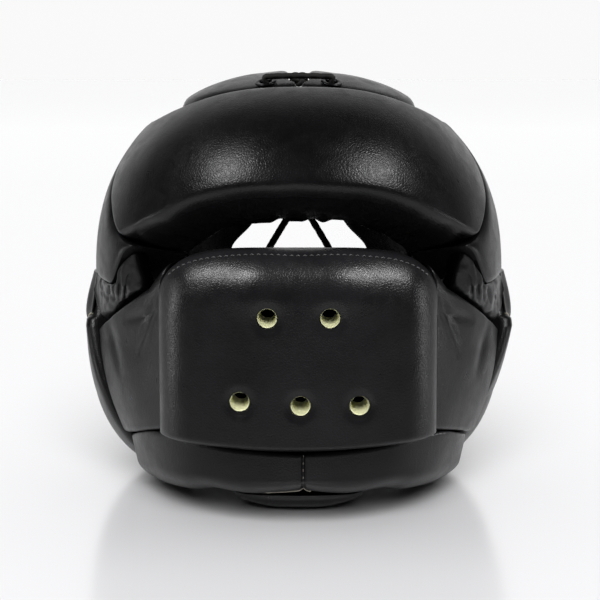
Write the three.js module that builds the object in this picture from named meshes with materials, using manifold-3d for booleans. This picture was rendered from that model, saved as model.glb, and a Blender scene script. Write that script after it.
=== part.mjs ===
// Full face boxing headgear: padded leather shell, face bar with vents, laced crown and back.
// Millimetres, +Z up, the face looks along -Y. It stands on its chin cup and its neck rim.
import * as THREE from "three";
import { mergeVertices } from "three/addons/utils/BufferGeometryUtils.js";
import Module from "manifold-3d";

const wasm = await Module();
wasm.setup();

// Driving sizes
const HEAD_HALF_WIDTH = 78; // inside the lining, temple to middle
const HEAD_HALF_LENGTH = 97; // inside the lining, brow to middle
const DOME_BASE_Z = 117.5; // top of the ear pads, where the dome begins
const DOME_INNER_RISE = 103;
const DOME_OUTER_RISE = 113.5;
const BROW_REACH = 149; // outer dome radius at the brow, before its edges roll in
const TEMPLE_REACH = 118.5;
const NAPE_REACH = 121;
const HEAD_AXIS_Y = 25.25; // the head's axis lies this far behind the middle of the whole part
const SEAM_WALL = 4; // two layers of leather where a pad is sewn shut
const GAP = 0.5; // between neighbouring pieces

// Angles round the head, in degrees from the middle of the face
const BROW_CORNER = 43.5; // the brow pad's lower corner, beside the eye
const TEMPLE_CORNER = 57; // from here back the temple pad ends level with the ear pad
const SIDE_END = 124;
const WING_FRONT = 34.6;

const EAR_REACH = 126;
const EAR_BELLY_Z = 86;
const EAR_LEVELS = [0, 2.5, 9, 27, 46, 64, 77, 85.4, 88.3, 101, 113.5, DOME_BASE_Z - GAP];
const EAR_TUCK = { left: 2.5, right: 7 }; // how far each ear pad is pressed in below its belly
const NECK_TAPER = 0.15;
const NECK_TAPER_Z = 110;

const CHIN = { halfWidth: 104, length: 143, innerHalfWidth: 70, innerLength: 100, lift: 6, tuck: 0.06 };
const CUP = { halfAngle: 20, back: 66, toe: 100, lip: 119, height: 11.2, rise: 5, sideRise: 8 };
const BAR = {
  halfWidth: 73, bottomZ: 40, bottomLift: 4.5, topZ: 142.5, cornerDrop: 27, cornerPower: 4.5,
  backY: -114, backCurve: 8, depth: 34, edge: 13, roll: 12, topRoll: 8,
};
const VENT = { bore: 6.2, linerOuter: 5.9, linerInner: 4.9, inset: 1.2, sides: 10 };
const STRAP = { lowZ: 89, topZ: 117, wall: 2.4, front: 83, rear: 122.5, lift: 0.7 };
const CROWN = { halfGap: 6, wall: 5, front: 11, rear: 158, reach: 111.5, crest: 114.5, climb: 9 };
const REAR = { padWall: 24, padEnd: 144, padRoll: 13, top: 49 };
const EYELET = { bore: 3.3, barrel: 4.2, flange: 6.2, lip: 0.9, play: 0.8, hole: 4.6, sides: 8 };
const LACE = { radius: 2.2, sides: 8, lift: 5 }; // lift beyond a flap's wall
const KNOT = { halfWidth: 6.5, halfDepth: 4.5, tail: 26 };

// The brow pad's lower edge and top edge, as angles above the dome's base
const BROW_ROWS = [
  { angle: 0, low: 21.6, top: 58 },
  { angle: 16, low: 20.8, top: 57.6 },
  { angle: 26, low: 18.6, top: 56.8 },
  { angle: 37, low: 14, top: 55 },
  { angle: 44, low: 10.4, top: 53.6 },
  { angle: 60, low: 7, top: 50.5 },
  { angle: 76, low: 5, top: 49 },
];
const BROW_LIP_DROP = 6.5; // how far its padded lower lip hangs below its sewn edge

// The seam between the brow pad and a temple pad, from its low end (0) to its top end (1)
const BROW_SEAM_ROWS = [
  { share: 0, angle: BROW_CORNER },
  { share: 0.09, angle: 51 },
  { share: 0.18, angle: 56 },
  { share: 0.28, angle: 60.5 },
  { share: 0.47, angle: 69.5 },
  { share: 0.62, angle: 73.5 },
  { share: 1, angle: 76 },
];
const BROW_LEVELS = [0, 0.03, 0.09, 0.18, 0.3, 0.47, 0.66, 0.86, 0.95, 1];

// The pad at the outer corner of each eye: the height of its low edge, and its thickness
const CORNER_ROWS = [
  { angle: 46.5, lowZ: 116.4, wall: 15 },
  { angle: 51, lowZ: 112.4, wall: 19 },
  { angle: 57, lowZ: 107, wall: 25 },
  { angle: 63, lowZ: 101.5, wall: 31 },
  { angle: 70, lowZ: 95.5, wall: 36 },
  { angle: 77, lowZ: 91.5, wall: 37 },
  { angle: 80, lowZ: 97, wall: 37 },
  { angle: 85, lowZ: 113.5, wall: 37 },
];
const CORNER_RECESS = 1.5; // it lies this far inside the pads above and below it

// Half the open width between the two rear wings, by height
const GAP_ROWS = [
  { z: 0, half: 0.8 },
  { z: 45, half: 0.8 },
  { z: 70, half: 4 },
  { z: 84, half: 14 },
  { z: 96, half: 32 },
  { z: 106, half: 43 },
  { z: 122, half: 45 },
  { z: 136, half: 31 },
  { z: 155, half: 20 },
  { z: 180, half: 15 },
  { z: 215, half: 12 },
];

// Chin pad edges from the middle (0) to its sewn end (1)
const CHIN_ROWS = [
  { share: 0, lowZ: 11.9, topZ: 39.6 },
  { share: 0.25, lowZ: 11.9, topZ: 40.4 },
  { share: 0.37, lowZ: 11.8, topZ: 41.1 },
  { share: 0.47, lowZ: 8.5, topZ: 41.6 },
  { share: 0.62, lowZ: 6, topZ: 40.4 },
  { share: 0.8, lowZ: 4, topZ: 34.6 },
  { share: 1, lowZ: 4, topZ: 28.2 },
];

// Vent centres on the face bar
const VENTS = [
  { x: -15.9, z: 109.8 },
  { x: 15.9, z: 109.8 },
  { x: -30, z: 66.5 },
  { x: 1, z: 65 },
  { x: 31, z: 64.5 },
];

// Eyelets beside the back opening and beside the crown opening, one of each pair
const BACK_EYELETS = [
  { name: "top", x: 24, z: 193 },
  { name: "middle", x: 45, z: 89 },
  { name: "low", x: 32, z: 35 },
];
const CROWN_EYELETS = [
  { name: "front", x: 17.5, y: -42 },
  { name: "rear", x: 20, y: 46 },
];

const BLACK_LEATHER = material(0x1c1b1d, 0.45);
const STRAP_LEATHER = material(0x202020, 0.5);
const CREAM_FOAM = material(0xd9d8b0, 0.9);
const LACE_CORD = material(0x141412, 0.85);
const EYELET_METAL = material(0x2a2a2c, 0.35, 0.9);

function material(color, roughness, metalness = 0) {
  return new THREE.MeshStandardMaterial({ color, roughness, metalness });
}

// Numbers and tables

const rad = THREE.MathUtils.degToRad;
const lerp = THREE.MathUtils.lerp;
const clamp = THREE.MathUtils.clamp;

// A smooth curve through one column of a table whose rows rise by another.
function readTable(rows, by, column, at) {
  const spot = clamp(at, rows[0][by], rows[rows.length - 1][by]);
  let i = 0;
  while (i < rows.length - 2 && spot > rows[i + 1][by]) i++;
  const slope = (k) => {
    const before = rows[Math.max(k - 1, 0)];
    const after = rows[Math.min(k + 1, rows.length - 1)];
    return (after[column] - before[column]) / (after[by] - before[by]);
  };
  const step = rows[i + 1][by] - rows[i][by];
  const t = (spot - rows[i][by]) / step;
  const start = rows[i][column] * (1 + 2 * t) * (1 - t) ** 2 + slope(i) * step * t * (1 - t) ** 2;
  const end = rows[i + 1][column] * t * t * (3 - 2 * t) - slope(i + 1) * step * t * t * (1 - t);
  return start + end;
}

// Distance from the middle of an ellipse to its rim, at an angle from its length.
function ellipseReach(halfWidth, halfLength, angle) {
  return 1 / Math.hypot(Math.sin(rad(angle)) / halfWidth, Math.cos(rad(angle)) / halfLength);
}

// How full a pad is at a distance from its sewn edge: a quarter round of the given radius.
function edgeRoll(distance, radius) {
  const inward = 1 - clamp(distance / radius, 0, 1);
  return Math.sqrt(1 - inward * inward);
}

// From 0 to 1 with level ends.
function ease(t) {
  const share = clamp(t, 0, 1);
  return share * share * (3 - 2 * share);
}

// Steps from 0 to 1, closer together over the rolled share at each end.
function rolledSteps(count, first, last) {
  const middle = [];
  for (let i = 0; i <= count; i++) middle.push(lerp(first, 1 - last, i / count));
  return [0, 0.25 * first, ...middle, 1 - 0.25 * last, 1];
}

// The head form

function headRadius(angle) {
  return ellipseReach(HEAD_HALF_WIDTH, HEAD_HALF_LENGTH, angle);
}

// A height below zero is in millimetres under the dome's base. Above zero it is an angle up the dome.
function domeReach(side, top, power, rise) {
  return Math.pow(
    Math.pow(Math.cos(rad(rise)) / side, power) + Math.pow(Math.sin(rad(rise)) / top, power),
    -1 / power,
  );
}

function liningReach(angle, height) {
  if (height > 0) return domeReach(headRadius(angle), DOME_INNER_RISE, 2.4, height);
  const z = DOME_BASE_Z + height;
  const drop = clamp(1 - z / NECK_TAPER_Z, 0, 1);
  return headRadius(angle) * (1 - NECK_TAPER * Math.pow(drop, 1.5));
}

// The dome is fuller at the brow than at the temples.
function domeOuterReach(angle, height) {
  const front = Math.max(Math.cos(rad(angle)), 0) ** 2;
  const back = Math.max(-Math.cos(rad(angle)), 0) ** 2;
  const power = 2.32 + 0.68 * front + 0.1 * back;
  const side = ellipseReach(TEMPLE_REACH, angle < 90 ? BROW_REACH : NAPE_REACH, angle);
  return domeReach(side, DOME_OUTER_RISE, power, Math.max(height, 0));
}

function onHead(side, angle, height, reach) {
  const rise = rad(Math.max(height, 0));
  const out = reach * Math.cos(rise);
  return new THREE.Vector3(
    side * out * Math.sin(rad(angle)),
    -out * Math.cos(rad(angle)),
    DOME_BASE_Z + Math.min(height, 0) + reach * Math.sin(rise),
  );
}

// Solids

// Two sheets over one grid, joined round the rim. place(u, v, out) has out 0 inside and 1 outside.
function closedSheets(us, vs, place) {
  const positions = [];
  const triangles = [];
  const columns = us.length;
  const count = columns * vs.length;
  for (const out of [0, 1])
    for (const v of vs)
      for (const u of us) positions.push(...place(u, v, out).toArray());
  const quad = (a, b, c, d) => triangles.push(a, b, c, a, c, d);
  for (let j = 0; j < vs.length - 1; j++)
    for (let i = 0; i < columns - 1; i++) {
      const a = j * columns + i;
      quad(a, a + columns, a + columns + 1, a + 1);
      quad(count + a, count + a + 1, count + a + columns + 1, count + a + columns);
    }
  for (let i = 0; i < columns - 1; i++) {
    const far = (vs.length - 1) * columns + i;
    quad(i, i + 1, count + i + 1, count + i);
    quad(far + 1, far, count + far, count + far + 1);
  }
  for (let j = 0; j < vs.length - 1; j++) {
    const near = j * columns;
    const far = near + columns - 1;
    quad(near + columns, near, count + near, count + near + columns);
    quad(far, far + columns, count + far + columns, count + far);
  }
  return facingOut(positions, triangles);
}

function facingOut(positions, triangles) {
  let volume = 0;
  const corner = (k) => new THREE.Vector3().fromArray(positions, 3 * triangles[k]);
  for (let k = 0; k < triangles.length; k += 3)
    volume += corner(k).dot(corner(k + 1).cross(corner(k + 2)));
  if (volume < 0)
    for (let k = 0; k < triangles.length; k += 3)
      [triangles[k + 1], triangles[k + 2]] = [triangles[k + 2], triangles[k + 1]];
  return new THREE.BufferGeometry()
    .setAttribute("position", new THREE.Float32BufferAttribute(positions, 3))
    .setIndex(triangles);
}

// A pad over the head: thin where it is sewn shut, full in the middle. rolls has a radius for each edge,
// keep the share of its fullness that it keeps where it is sewn to a neighbour. lip moves the low edge's bulge.
function pad(side, { spot, inner, outer, span, rise, rolls, keep = {}, lip = () => 0, seam = SEAM_WALL, us, vs }) {
  const place = (u, v, out) => {
    const [angle, height] = spot(u, v);
    const near = inner(angle, height);
    const full = (edge, distance) => lerp(keep[edge] ?? 0, 1, edgeRoll(distance, rolls[edge]));
    const ends = full("start", u * span) * full("end", (1 - u) * span);
    const fill = ends * full("low", v * rise) * full("top", (1 - v) * rise);
    const wall = seam + Math.max(outer(angle, height) - near - seam, 0) * fill;
    const point = onHead(side, angle, height, near + out * wall);
    const inside = ease((u * span - 14) / 40) * ease(((1 - u) * span - 14) / 40);
    point.z += out * lip(angle) * inside * edgeRoll(v * rise, rolls.low) * (1 - v) ** 3;
    return onFloor(point);
  };
  const across = us ?? rolledSteps(rolls.stations, rolls.start / span, rolls.end / span);
  const along = vs ?? rolledSteps(rolls.levels, rolls.low / rise, rolls.top / rise);
  return closedSheets(across, along, place);
}

// What would sag below the floor is pressed flat on it.
function onFloor(point) {
  point.z = Math.max(point.z, 0);
  return point;
}

function solid(geometry) {
  const bare = geometry.clone();
  bare.deleteAttribute("normal");
  bare.deleteAttribute("uv");
  const merged = mergeVertices(bare, 1e-4);
  return new wasm.Manifold(
    new wasm.Mesh({
      numProp: 3,
      vertProperties: merged.attributes.position.array,
      triVerts: new Uint32Array(merged.index.array),
    }),
  );
}

function geometryOf(manifold) {
  const { vertProperties, triVerts } = manifold.getMesh();
  return new THREE.BufferGeometry()
    .setAttribute("position", new THREE.BufferAttribute(vertProperties, 3))
    .setIndex(new THREE.BufferAttribute(triVerts, 1));
}

function drilled(geometry, drills) {
  let body = solid(geometry);
  for (const drill of drills) body = body.subtract(solid(drill));
  return geometryOf(body);
}

const ALONG_Y = new THREE.Vector3(0, 1, 0);

function drill(point, direction, radius, length, sides) {
  const turn = new THREE.Quaternion().setFromUnitVectors(ALONG_Y, direction);
  return new THREE.CylinderGeometry(radius, radius, length, sides)
    .applyQuaternion(turn)
    .translate(point.x, point.y, point.z);
}

// Pads

function browPad() {
  const edge = (angle, column) => readTable(BROW_ROWS, "angle", column, Math.abs(angle));
  const spot = (u, v) => {
    const end = browSeamAngle(v);
    const angle = lerp(-end, end, u);
    return [angle, lerp(edge(angle, "low"), edge(angle, "top"), v)];
  };
  return pad(1, {
    spot, inner: signless(liningReach), outer: signless(domeOuterReach), lip: () => -BROW_LIP_DROP,
    span: 280, rise: 84, rolls: { start: 7, end: 7, low: 9, top: 12, stations: 14 },
    keep: { start: 0.85, end: 0.85, top: 0.1 }, vs: BROW_LEVELS,
  });
}

function browSeamAngle(share) {
  return readTable(BROW_SEAM_ROWS, "share", "angle", share);
}

function browSeamRise(share) {
  const angle = browSeamAngle(share);
  return lerp(readTable(BROW_ROWS, "angle", "low", angle), readTable(BROW_ROWS, "angle", "top", angle), share);
}

// The temple pad's lower edge comes down beside the eye and then runs back level.
function templeLowRise(angle) {
  const back = ease((angle - BROW_CORNER) / (TEMPLE_CORNER - BROW_CORNER));
  return lerp(browSeamRise(0), GAP / 2, back);
}

function signless(reach) {
  return (angle, height) => reach(Math.abs(angle), height);
}

function templePad(side) {
  const spot = (u, v) => {
    const angle = lerp(browSeamAngle(v) + GAP, SIDE_END, u);
    const back = lerp(BROW_CORNER + GAP, SIDE_END, u);
    const t = (browSeamRise(0) - templeLowRise(back)) / (browSeamRise(0) - GAP / 2);
    return [angle, lerp(browSeamRise(v), lerp(GAP / 2, REAR.top, v), t)];
  };
  return pad(side, {
    spot, inner: liningReach, outer: domeOuterReach,
    span: 120, rise: 95, seam: 12, rolls: { start: 7, end: 12, low: 4, top: 9 },
    keep: { start: 0.85, low: 0.85 },
    us: [0, 0.02, 0.05, 0.1, 0.165, 0.3, 0.5, 0.7, 0.9, 0.97, 1], vs: BROW_LEVELS,
  });
}

// The seam between the cheek wing and the ear pad leans back as it rises.
function earSeamAngle(z) {
  return 65 + 0.245 * (z - 29);
}

// Fullest at its belly. Above that it steps in under the strap.
function earOuterReach(angle, height, tuck = 0) {
  const z = DOME_BASE_Z + height;
  const under = clamp((EAR_BELLY_Z - z) / EAR_BELLY_Z, 0, 1);
  const over = clamp((z - EAR_BELLY_Z) / (DOME_BASE_Z - EAR_BELLY_Z), 0, 1);
  const seat = (STRAP.wall + STRAP.lift) * clamp((z - EAR_BELLY_Z) / 2, 0, 1);
  const fall = tuck * clamp(2.2 * under, 0, 1);
  const belly = 70 + (EAR_REACH - 70) * Math.sqrt(1 - Math.pow(under, 2.8)) - seat - 5 * over - fall;
  return belly * ellipseReach(1, angle < 90 ? 0.8 : 0.7, angle);
}

function earPad(side, tuck) {
  const spot = (u, v) => {
    const z = lerp(0, DOME_BASE_Z - GAP, v);
    return [lerp(earSeamAngle(z) + GAP, SIDE_END, u), z - DOME_BASE_Z];
  };
  return pad(side, {
    spot, inner: liningReach, outer: (angle, height) => earOuterReach(angle, height, tuck),
    span: 95, rise: 118, seam: 8, rolls: { start: 6, end: 10, low: 9, top: 2, stations: 5 },
    keep: { start: 0.7, top: 0.85 },
    vs: EAR_LEVELS.map((z) => z / (DOME_BASE_Z - GAP)),
  });
}

function cornerPad(side) {
  const first = CORNER_ROWS[0].angle;
  const last = CORNER_ROWS[CORNER_ROWS.length - 1].angle;
  const spot = (u, v) => {
    const angle = lerp(first, last, u);
    return [angle, lerp(lowRise(angle), templeLowRise(angle) - GAP, v)];
  };
  const lowRise = (angle) => readTable(CORNER_ROWS, "angle", "lowZ", angle) - DOME_BASE_Z;
  const outer = (angle, height) => {
    const low = lowRise(angle);
    const up = clamp((height - low) / (templeLowRise(angle) - low), 0, 1);
    return lerp(wingOuterReach(angle, low), domeOuterReach(angle, 0), up) - CORNER_RECESS;
  };
  const inner = (angle, height) => {
    const back = outer(angle, height) - readTable(CORNER_ROWS, "angle", "wall", angle);
    return Math.max(back, liningReach(angle, height));
  };
  return pad(side, {
    spot, inner, outer,
    span: 62, rise: 22, rolls: { start: 8, end: 4, low: 5, top: 4, stations: 5, levels: 2 },
    keep: { start: 0.3, low: 0.4, top: 0.85 },
  });
}

// The wing's outer face runs straight in plan from the face bar to the ear seam.
function wingOuterReach(angle, height) {
  const low = clamp((82 - (DOME_BASE_Z + height)) / 53, 0, 1);
  const front = new THREE.Vector2(72, 104);
  const rear = new THREE.Vector2(116 - 16 * low * low, 25 + 10 * low);
  const run = rear.clone().sub(front);
  const facing = new THREE.Vector2(-run.y, run.x).normalize();
  const sight = new THREE.Vector2(Math.sin(rad(angle)), Math.cos(rad(angle)));
  const along = clamp((angle - WING_FRONT) / 43, 0, 1);
  return front.dot(facing) / sight.dot(facing) + 16 * along * (1 - along);
}

function wingPad(side) {
  const corners = { frontLow: 42.9, frontTop: 125, rearLow: 29.2, rearTop: 86.5 };
  const spot = (u, v) => {
    const frontZ = lerp(corners.frontLow, corners.frontTop, v);
    const rearZ = lerp(corners.rearLow, corners.rearTop, v);
    const z = lerp(frontZ, rearZ, u);
    return [lerp(WING_FRONT, earSeamAngle(rearZ) - GAP / 2, u), z - DOME_BASE_Z];
  };
  return pad(side, {
    spot, outer: wingOuterReach,
    inner: (angle, height) => wingOuterReach(angle, height) - 23,
    span: 95, rise: 68, seam: 6, rolls: { start: 4, end: 4, low: 3, top: 3.5, stations: 5, levels: 3 },
    keep: { start: 0.6, end: 0.75, low: 0.75, top: 0.3 },
  });
}

// The chin's sides draw in towards the floor.
function chinOuterReach(angle, height) {
  const under = clamp((41 - DOME_BASE_Z - height) / 37, 0, 1);
  const aside = ease((Math.abs(angle) - 25) / 25);
  return ellipseReach(CHIN.halfWidth, CHIN.length, angle) * (1 - CHIN.tuck * under * aside);
}

function chinPad() {
  const spot = (u, v) => {
    const share = lerp(-1, 1, u);
    const row = (column) => readTable(CHIN_ROWS, "share", column, Math.abs(share));
    return [share * lerp(58.9, 63.8, v), lerp(row("lowZ"), row("topZ"), v) - DOME_BASE_Z];
  };
  return pad(1, {
    spot, span: 240, rise: 34, seam: 10,
    lip: (angle) => CHIN.lift * (1 - ease(Math.abs(angle) / 13)),
    rolls: { start: 6, end: 6, low: 15, top: 4, stations: 14, levels: 2 },
    keep: { start: 0.75, end: 0.75, top: 0.9 },
    inner: (angle) => ellipseReach(CHIN.innerHalfWidth, CHIN.innerLength, angle),
    outer: chinOuterReach,
  });
}

// The pad under the chin: a shallow bowl with a lip that rolls up at the front.
function chinCup() {
  const place = (u, v, out) => {
    const angle = rad(lerp(-CUP.halfAngle, CUP.halfAngle, u));
    const close = edgeRoll((1 - Math.abs(2 * u - 1)) * CUP.halfAngle, 8);
    const front = lerp(CUP.toe, CUP.lip, out * close);
    const reach = lerp(CUP.back, front, v);
    const heel = CUP.rise * (1 - edgeRoll(v * 50, 10));
    const bowl = CUP.sideRise * Math.max((Math.abs(2 * u - 1) - 0.3) / 0.7, 0) ** 1.6;
    const z = out ? CUP.height : Math.max(heel, bowl);
    return new THREE.Vector3(reach * Math.sin(angle), -reach * Math.cos(angle), z);
  };
  return closedSheets(rolledSteps(8, 0.12, 0.12), [0, 0.06, 0.2, 0.6, 1], place);
}

function faceBar() {
  const place = (u, v, out) => {
    const x = lerp(-BAR.halfWidth, BAR.halfWidth, u);
    const share = Math.abs(x) / BAR.halfWidth;
    const corner = 1 - Math.sqrt(1 - Math.pow(share, BAR.cornerPower));
    const low = BAR.bottomZ + BAR.bottomLift * share * share;
    const top = BAR.topZ - BAR.cornerDrop * corner;
    const z = lerp(low, top, v);
    const fill =
      edgeRoll(BAR.halfWidth - Math.abs(x), BAR.roll) *
      edgeRoll(z - low, BAR.topRoll) * edgeRoll(top - z, BAR.topRoll);
    const back = BAR.backY + BAR.backCurve * share * share;
    const wall = BAR.edge + (BAR.depth - BAR.edge) * fill;
    return new THREE.Vector3(x, back - out * wall, z);
  };
  const us = rolledSteps(10, BAR.roll / (2 * BAR.halfWidth), BAR.roll / (2 * BAR.halfWidth));
  const vs = rolledSteps(4, BAR.topRoll / 95, BAR.topRoll / 95);
  const drills = VENTS.map(({ x, z }) =>
    drill(new THREE.Vector3(x, BAR.backY, z), ALONG_Y, VENT.bore, 120, VENT.sides),
  );
  return drilled(closedSheets(us, vs, place), drills);
}

// A foam sleeve that lines a vent from the back of the bar to just under its face.
function ventLiner(vent) {
  const back = BAR.backY + BAR.backCurve * (vent.x / BAR.halfWidth) ** 2;
  const length = BAR.depth - VENT.inset;
  const profile = [
    new THREE.Vector2(VENT.linerInner, 0),
    new THREE.Vector2(VENT.linerOuter, 0),
    new THREE.Vector2(VENT.linerOuter, length),
    new THREE.Vector2(VENT.linerInner, length),
    new THREE.Vector2(VENT.linerInner, 0),
  ];
  return new THREE.LatheGeometry(profile, VENT.sides)
    .rotateX(Math.PI)
    .translate(vent.x, back, vent.z);
}

function crownGapRise(angle, reach) {
  return THREE.MathUtils.radToDeg(Math.acos(Math.min(CROWN.halfGap / (reach * Math.sin(rad(angle))), 1)));
}

function crownLowRise(angle) {
  return angle < browSeamAngle(1) ? readTable(BROW_ROWS, "angle", "top", angle) : REAR.top;
}

// The flap's rim sits beside the pads' top edges. It rises steeply to its crest, then eases to the open strip.
function crownInnerReach(angle, height) {
  const low = crownLowRise(angle);
  const climb = clamp((height - low) / CROWN.climb, 0, 1);
  const crest = lerp(CROWN.crest, CROWN.reach, clamp((height - 60) / 20, 0, 1) ** 1.5);
  return lerp(liningReach(angle, low) + 3, crest, Math.sin((Math.PI / 2) * climb));
}

function crownFlap(side, eyelets) {
  const spot = (u, v) => {
    const angle = lerp(CROWN.front, CROWN.rear, u);
    const low = crownLowRise(angle) + GAP;
    return [angle, lerp(low, Math.max(crownGapRise(angle, CROWN.reach), low + 2), v)];
  };
  const flap = pad(side, {
    spot, inner: crownInnerReach,
    outer: (angle, height) => crownInnerReach(angle, height) + CROWN.wall,
    span: 150, rise: 50, seam: 3, rolls: { start: 3, end: 3, low: 3, top: 3, stations: 8 },
    vs: [0, 0.015, 0.06, 0.14, 0.3, 0.6, 0.94, 1],
  });
  return drilled(flap, eyelets.map(({ point, normal }) => drill(point, normal, EYELET.hole, 30, EYELET.sides)));
}

function rearGapAngle(height) {
  const reach = liningReach(180, height);
  const out = height > 0 ? reach * Math.cos(rad(height)) : reach;
  const z = height > 0 ? DOME_BASE_Z + reach * Math.sin(rad(height)) : DOME_BASE_Z + height;
  return 180 - THREE.MathUtils.radToDeg(Math.asin(readTable(GAP_ROWS, "z", "half", z) / out));
}

// Padded beside the ear, then two bare layers of leather out to the laced edge.
function rearOuterReach(angle, height) {
  const near = liningReach(angle, height);
  const level = near * Math.cos(rad(Math.max(height, 0)));
  const toPadEnd = rad(REAR.padEnd - angle) * level;
  return near + SEAM_WALL + (REAR.padWall - SEAM_WALL) * edgeRoll(toPadEnd, REAR.padRoll);
}

function rearWing(side, eyelets) {
  const foot = -DOME_BASE_Z;
  const spot = (u, v) => {
    const height = v < 0.6 ? lerp(foot, 0, v / 0.6) : lerp(0, REAR.top, (v - 0.6) / 0.4);
    const edge = rearGapAngle(height);
    const angle = u < 0.5 ? lerp(SIDE_END + GAP, REAR.padEnd, 2 * u) : lerp(REAR.padEnd, edge, 2 * u - 1);
    return [angle, height];
  };
  const padSteps = rolledSteps(2, 0.33, 0.43).map((step) => step / 2);
  const wing = pad(side, {
    spot, inner: liningReach, outer: rearOuterReach,
    span: 60, rise: 205, rolls: { start: 10, end: 3, low: 9, top: 9, levels: 9 },
    us: [...padSteps, 0.67, 0.84, 1],
  });
  return drilled(wing, eyelets.map(({ point, normal }) => drill(point, normal, EYELET.hole, 30, EYELET.sides)));
}

// A leather strap round the ear pad, sewn in at the seam in front of the rear wing.
function sideStrap(side) {
  const place = (u, v, out) => {
    const angle = lerp(STRAP.front, STRAP.rear, u);
    const height = lerp(STRAP.lowZ, STRAP.topZ, v) - DOME_BASE_Z;
    return onHead(side, angle, height, earOuterReach(angle, height) + STRAP.lift + out * STRAP.wall);
  };
  const us = Array.from({ length: 12 }, (_, i) => i / 11);
  return closedSheets(us, [0, 0.5, 1], place);
}

// Eyelets and laces

// Point and outward direction in the middle of a flap's wall.
function flapSpot(side, angle, height, inner, wall) {
  const at = (a, h) => onHead(side, a, h, inner(a, h));
  const point = at(angle, height);
  const across = at(angle + 1, height).sub(at(angle - 1, height));
  const up = at(angle, height + 1).sub(at(angle, height - 1));
  const normal = across.cross(up).normalize();
  const outward = new THREE.Vector3(point.x, point.y, Math.max(height, 0) ? point.z - DOME_BASE_Z : 0);
  if (normal.dot(outward) < 0) normal.negate();
  return { point: point.addScaledVector(normal, wall / 2), normal, lift: wall / 2 + LACE.lift };
}

function backEyelet(side, { x, z }) {
  let height = z - DOME_BASE_Z;
  for (let pass = 0; height > 0 && pass < 20; pass++) {
    const reach = liningReach(170, height);
    height = THREE.MathUtils.radToDeg(Math.asin((z - DOME_BASE_Z) / reach));
  }
  const reach = liningReach(165, height) * Math.cos(rad(Math.max(height, 0)));
  const angle = 180 - THREE.MathUtils.radToDeg(Math.asin(x / reach));
  return flapSpot(side, angle, height, liningReach, SEAM_WALL);
}

function crownEyelet(side, { x, y }) {
  const angle = THREE.MathUtils.radToDeg(Math.atan2(x, -y));
  const flat = Math.hypot(x, y);
  let height = 70;
  for (let pass = 0; pass < 20; pass++)
    height = THREE.MathUtils.radToDeg(Math.acos(flat / crownInnerReach(angle, height)));
  return flapSpot(side, angle, height, crownInnerReach, CROWN.wall);
}

// A pressed metal ring in a lace hole, with its flange outside.
function eyeletRing(wall, { point, normal }) {
  const half = wall / 2 + EYELET.play;
  const section = [
    [EYELET.bore, -half], [EYELET.barrel, -half], [EYELET.barrel, half], [EYELET.flange, half],
    [EYELET.flange, half + EYELET.lip], [EYELET.bore, half + EYELET.lip], [EYELET.bore, -half],
  ];
  return new THREE.LatheGeometry(section.map(([r, y]) => new THREE.Vector2(r, y)), EYELET.sides)
    .applyQuaternion(new THREE.Quaternion().setFromUnitVectors(ALONG_Y, normal))
    .translate(point.x, point.y, point.z);
}

// A smooth route that spends as many steps on each stretch between two of its points.
class LaceCurve extends THREE.CatmullRomCurve3 {
  getUtoTmapping(u) {
    return u;
  }
}

function laceTube(points, steps = 2 * (points.length - 1)) {
  const corners = [];
  for (let i = 0; i < LACE.sides; i++) {
    const turn = (2 * Math.PI * i) / LACE.sides;
    corners.push(new THREE.Vector2(LACE.radius * Math.cos(turn), LACE.radius * Math.sin(turn)));
  }
  const extrudePath = new LaceCurve(points, false, "centripetal");
  return new THREE.ExtrudeGeometry(new THREE.Shape(corners), { steps, bevelEnabled: false, extrudePath });
}

// The lace goes straight through an eyelet, outwards or inwards.
function through({ point, normal, lift }, outwards) {
  const sign = outwards ? 1 : -1;
  return [-lift, -3.4, 3.4, lift].map((step) => point.clone().addScaledVector(normal, sign * step));
}

// Points between two eyelets, pushed off the straight line at the flaps' edges and in the middle.
function stretch(from, to, { way, edge, middle }) {
  const at = (t, push) => from.clone().lerp(to, t).addScaledVector(way, push);
  return edge ? [at(0.17, edge), at(0.5, middle), at(0.83, edge)] : [at(0.5, middle)];
}

// From the knot in at the first eyelet, across to the next row, down that side, along the last row and back up.
// pushes has a row for each stretch between two eyelets.
function laceRoute(left, right, knot, pushes) {
  const down = left.map((eyelet, i) => (i ? right[i] : eyelet));
  const up = right.map((eyelet, i) => (i ? left[i] : eyelet)).reverse();
  const aside = new THREE.Vector3(KNOT.halfWidth + GAP, 0, 0);
  const points = [knot.clone().sub(aside)];
  [...down, ...up].forEach((eyelet, step) => {
    const hole = through(eyelet, step % 2 === 1);
    if (step) points.push(...stretch(points[points.length - 1], hole[0], pushes[step - 1]));
    points.push(...hole);
  });
  return [...points, knot.clone().add(aside)];
}

// A tied knot with its two loose ends, laid along a direction.
function laceKnot(knot, along) {
  const profile = [];
  for (let i = 0; i <= 5; i++) {
    const turn = (Math.PI * i) / 5;
    profile.push(new THREE.Vector2(KNOT.halfDepth * Math.sin(turn), -KNOT.halfWidth * Math.cos(turn)));
  }
  const ball = new THREE.LatheGeometry(profile, 7).rotateZ(Math.PI / 2).translate(knot.x, knot.y, knot.z);
  let body = solid(ball);
  for (const { side } of SIDES) {
    const ends = [0, 0.5, 1].map((t) =>
      knot.clone().addScaledVector(along, KNOT.tail * t).add(new THREE.Vector3(side * (2.5 + 5 * t), 0, 0)),
    );
    body = body.add(solid(laceTube(ends, 3)));
  }
  return geometryOf(body);
}

const headgear = new THREE.Group();
headgear.position.y = HEAD_AXIS_Y;

function add(name, geometry, look) {
  const mesh = new THREE.Mesh(geometry, look);
  mesh.name = name;
  headgear.add(mesh);
  return mesh;
}

const SIDES = [
  { word: "left", side: -1 },
  { word: "right", side: 1 },
];

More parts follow.
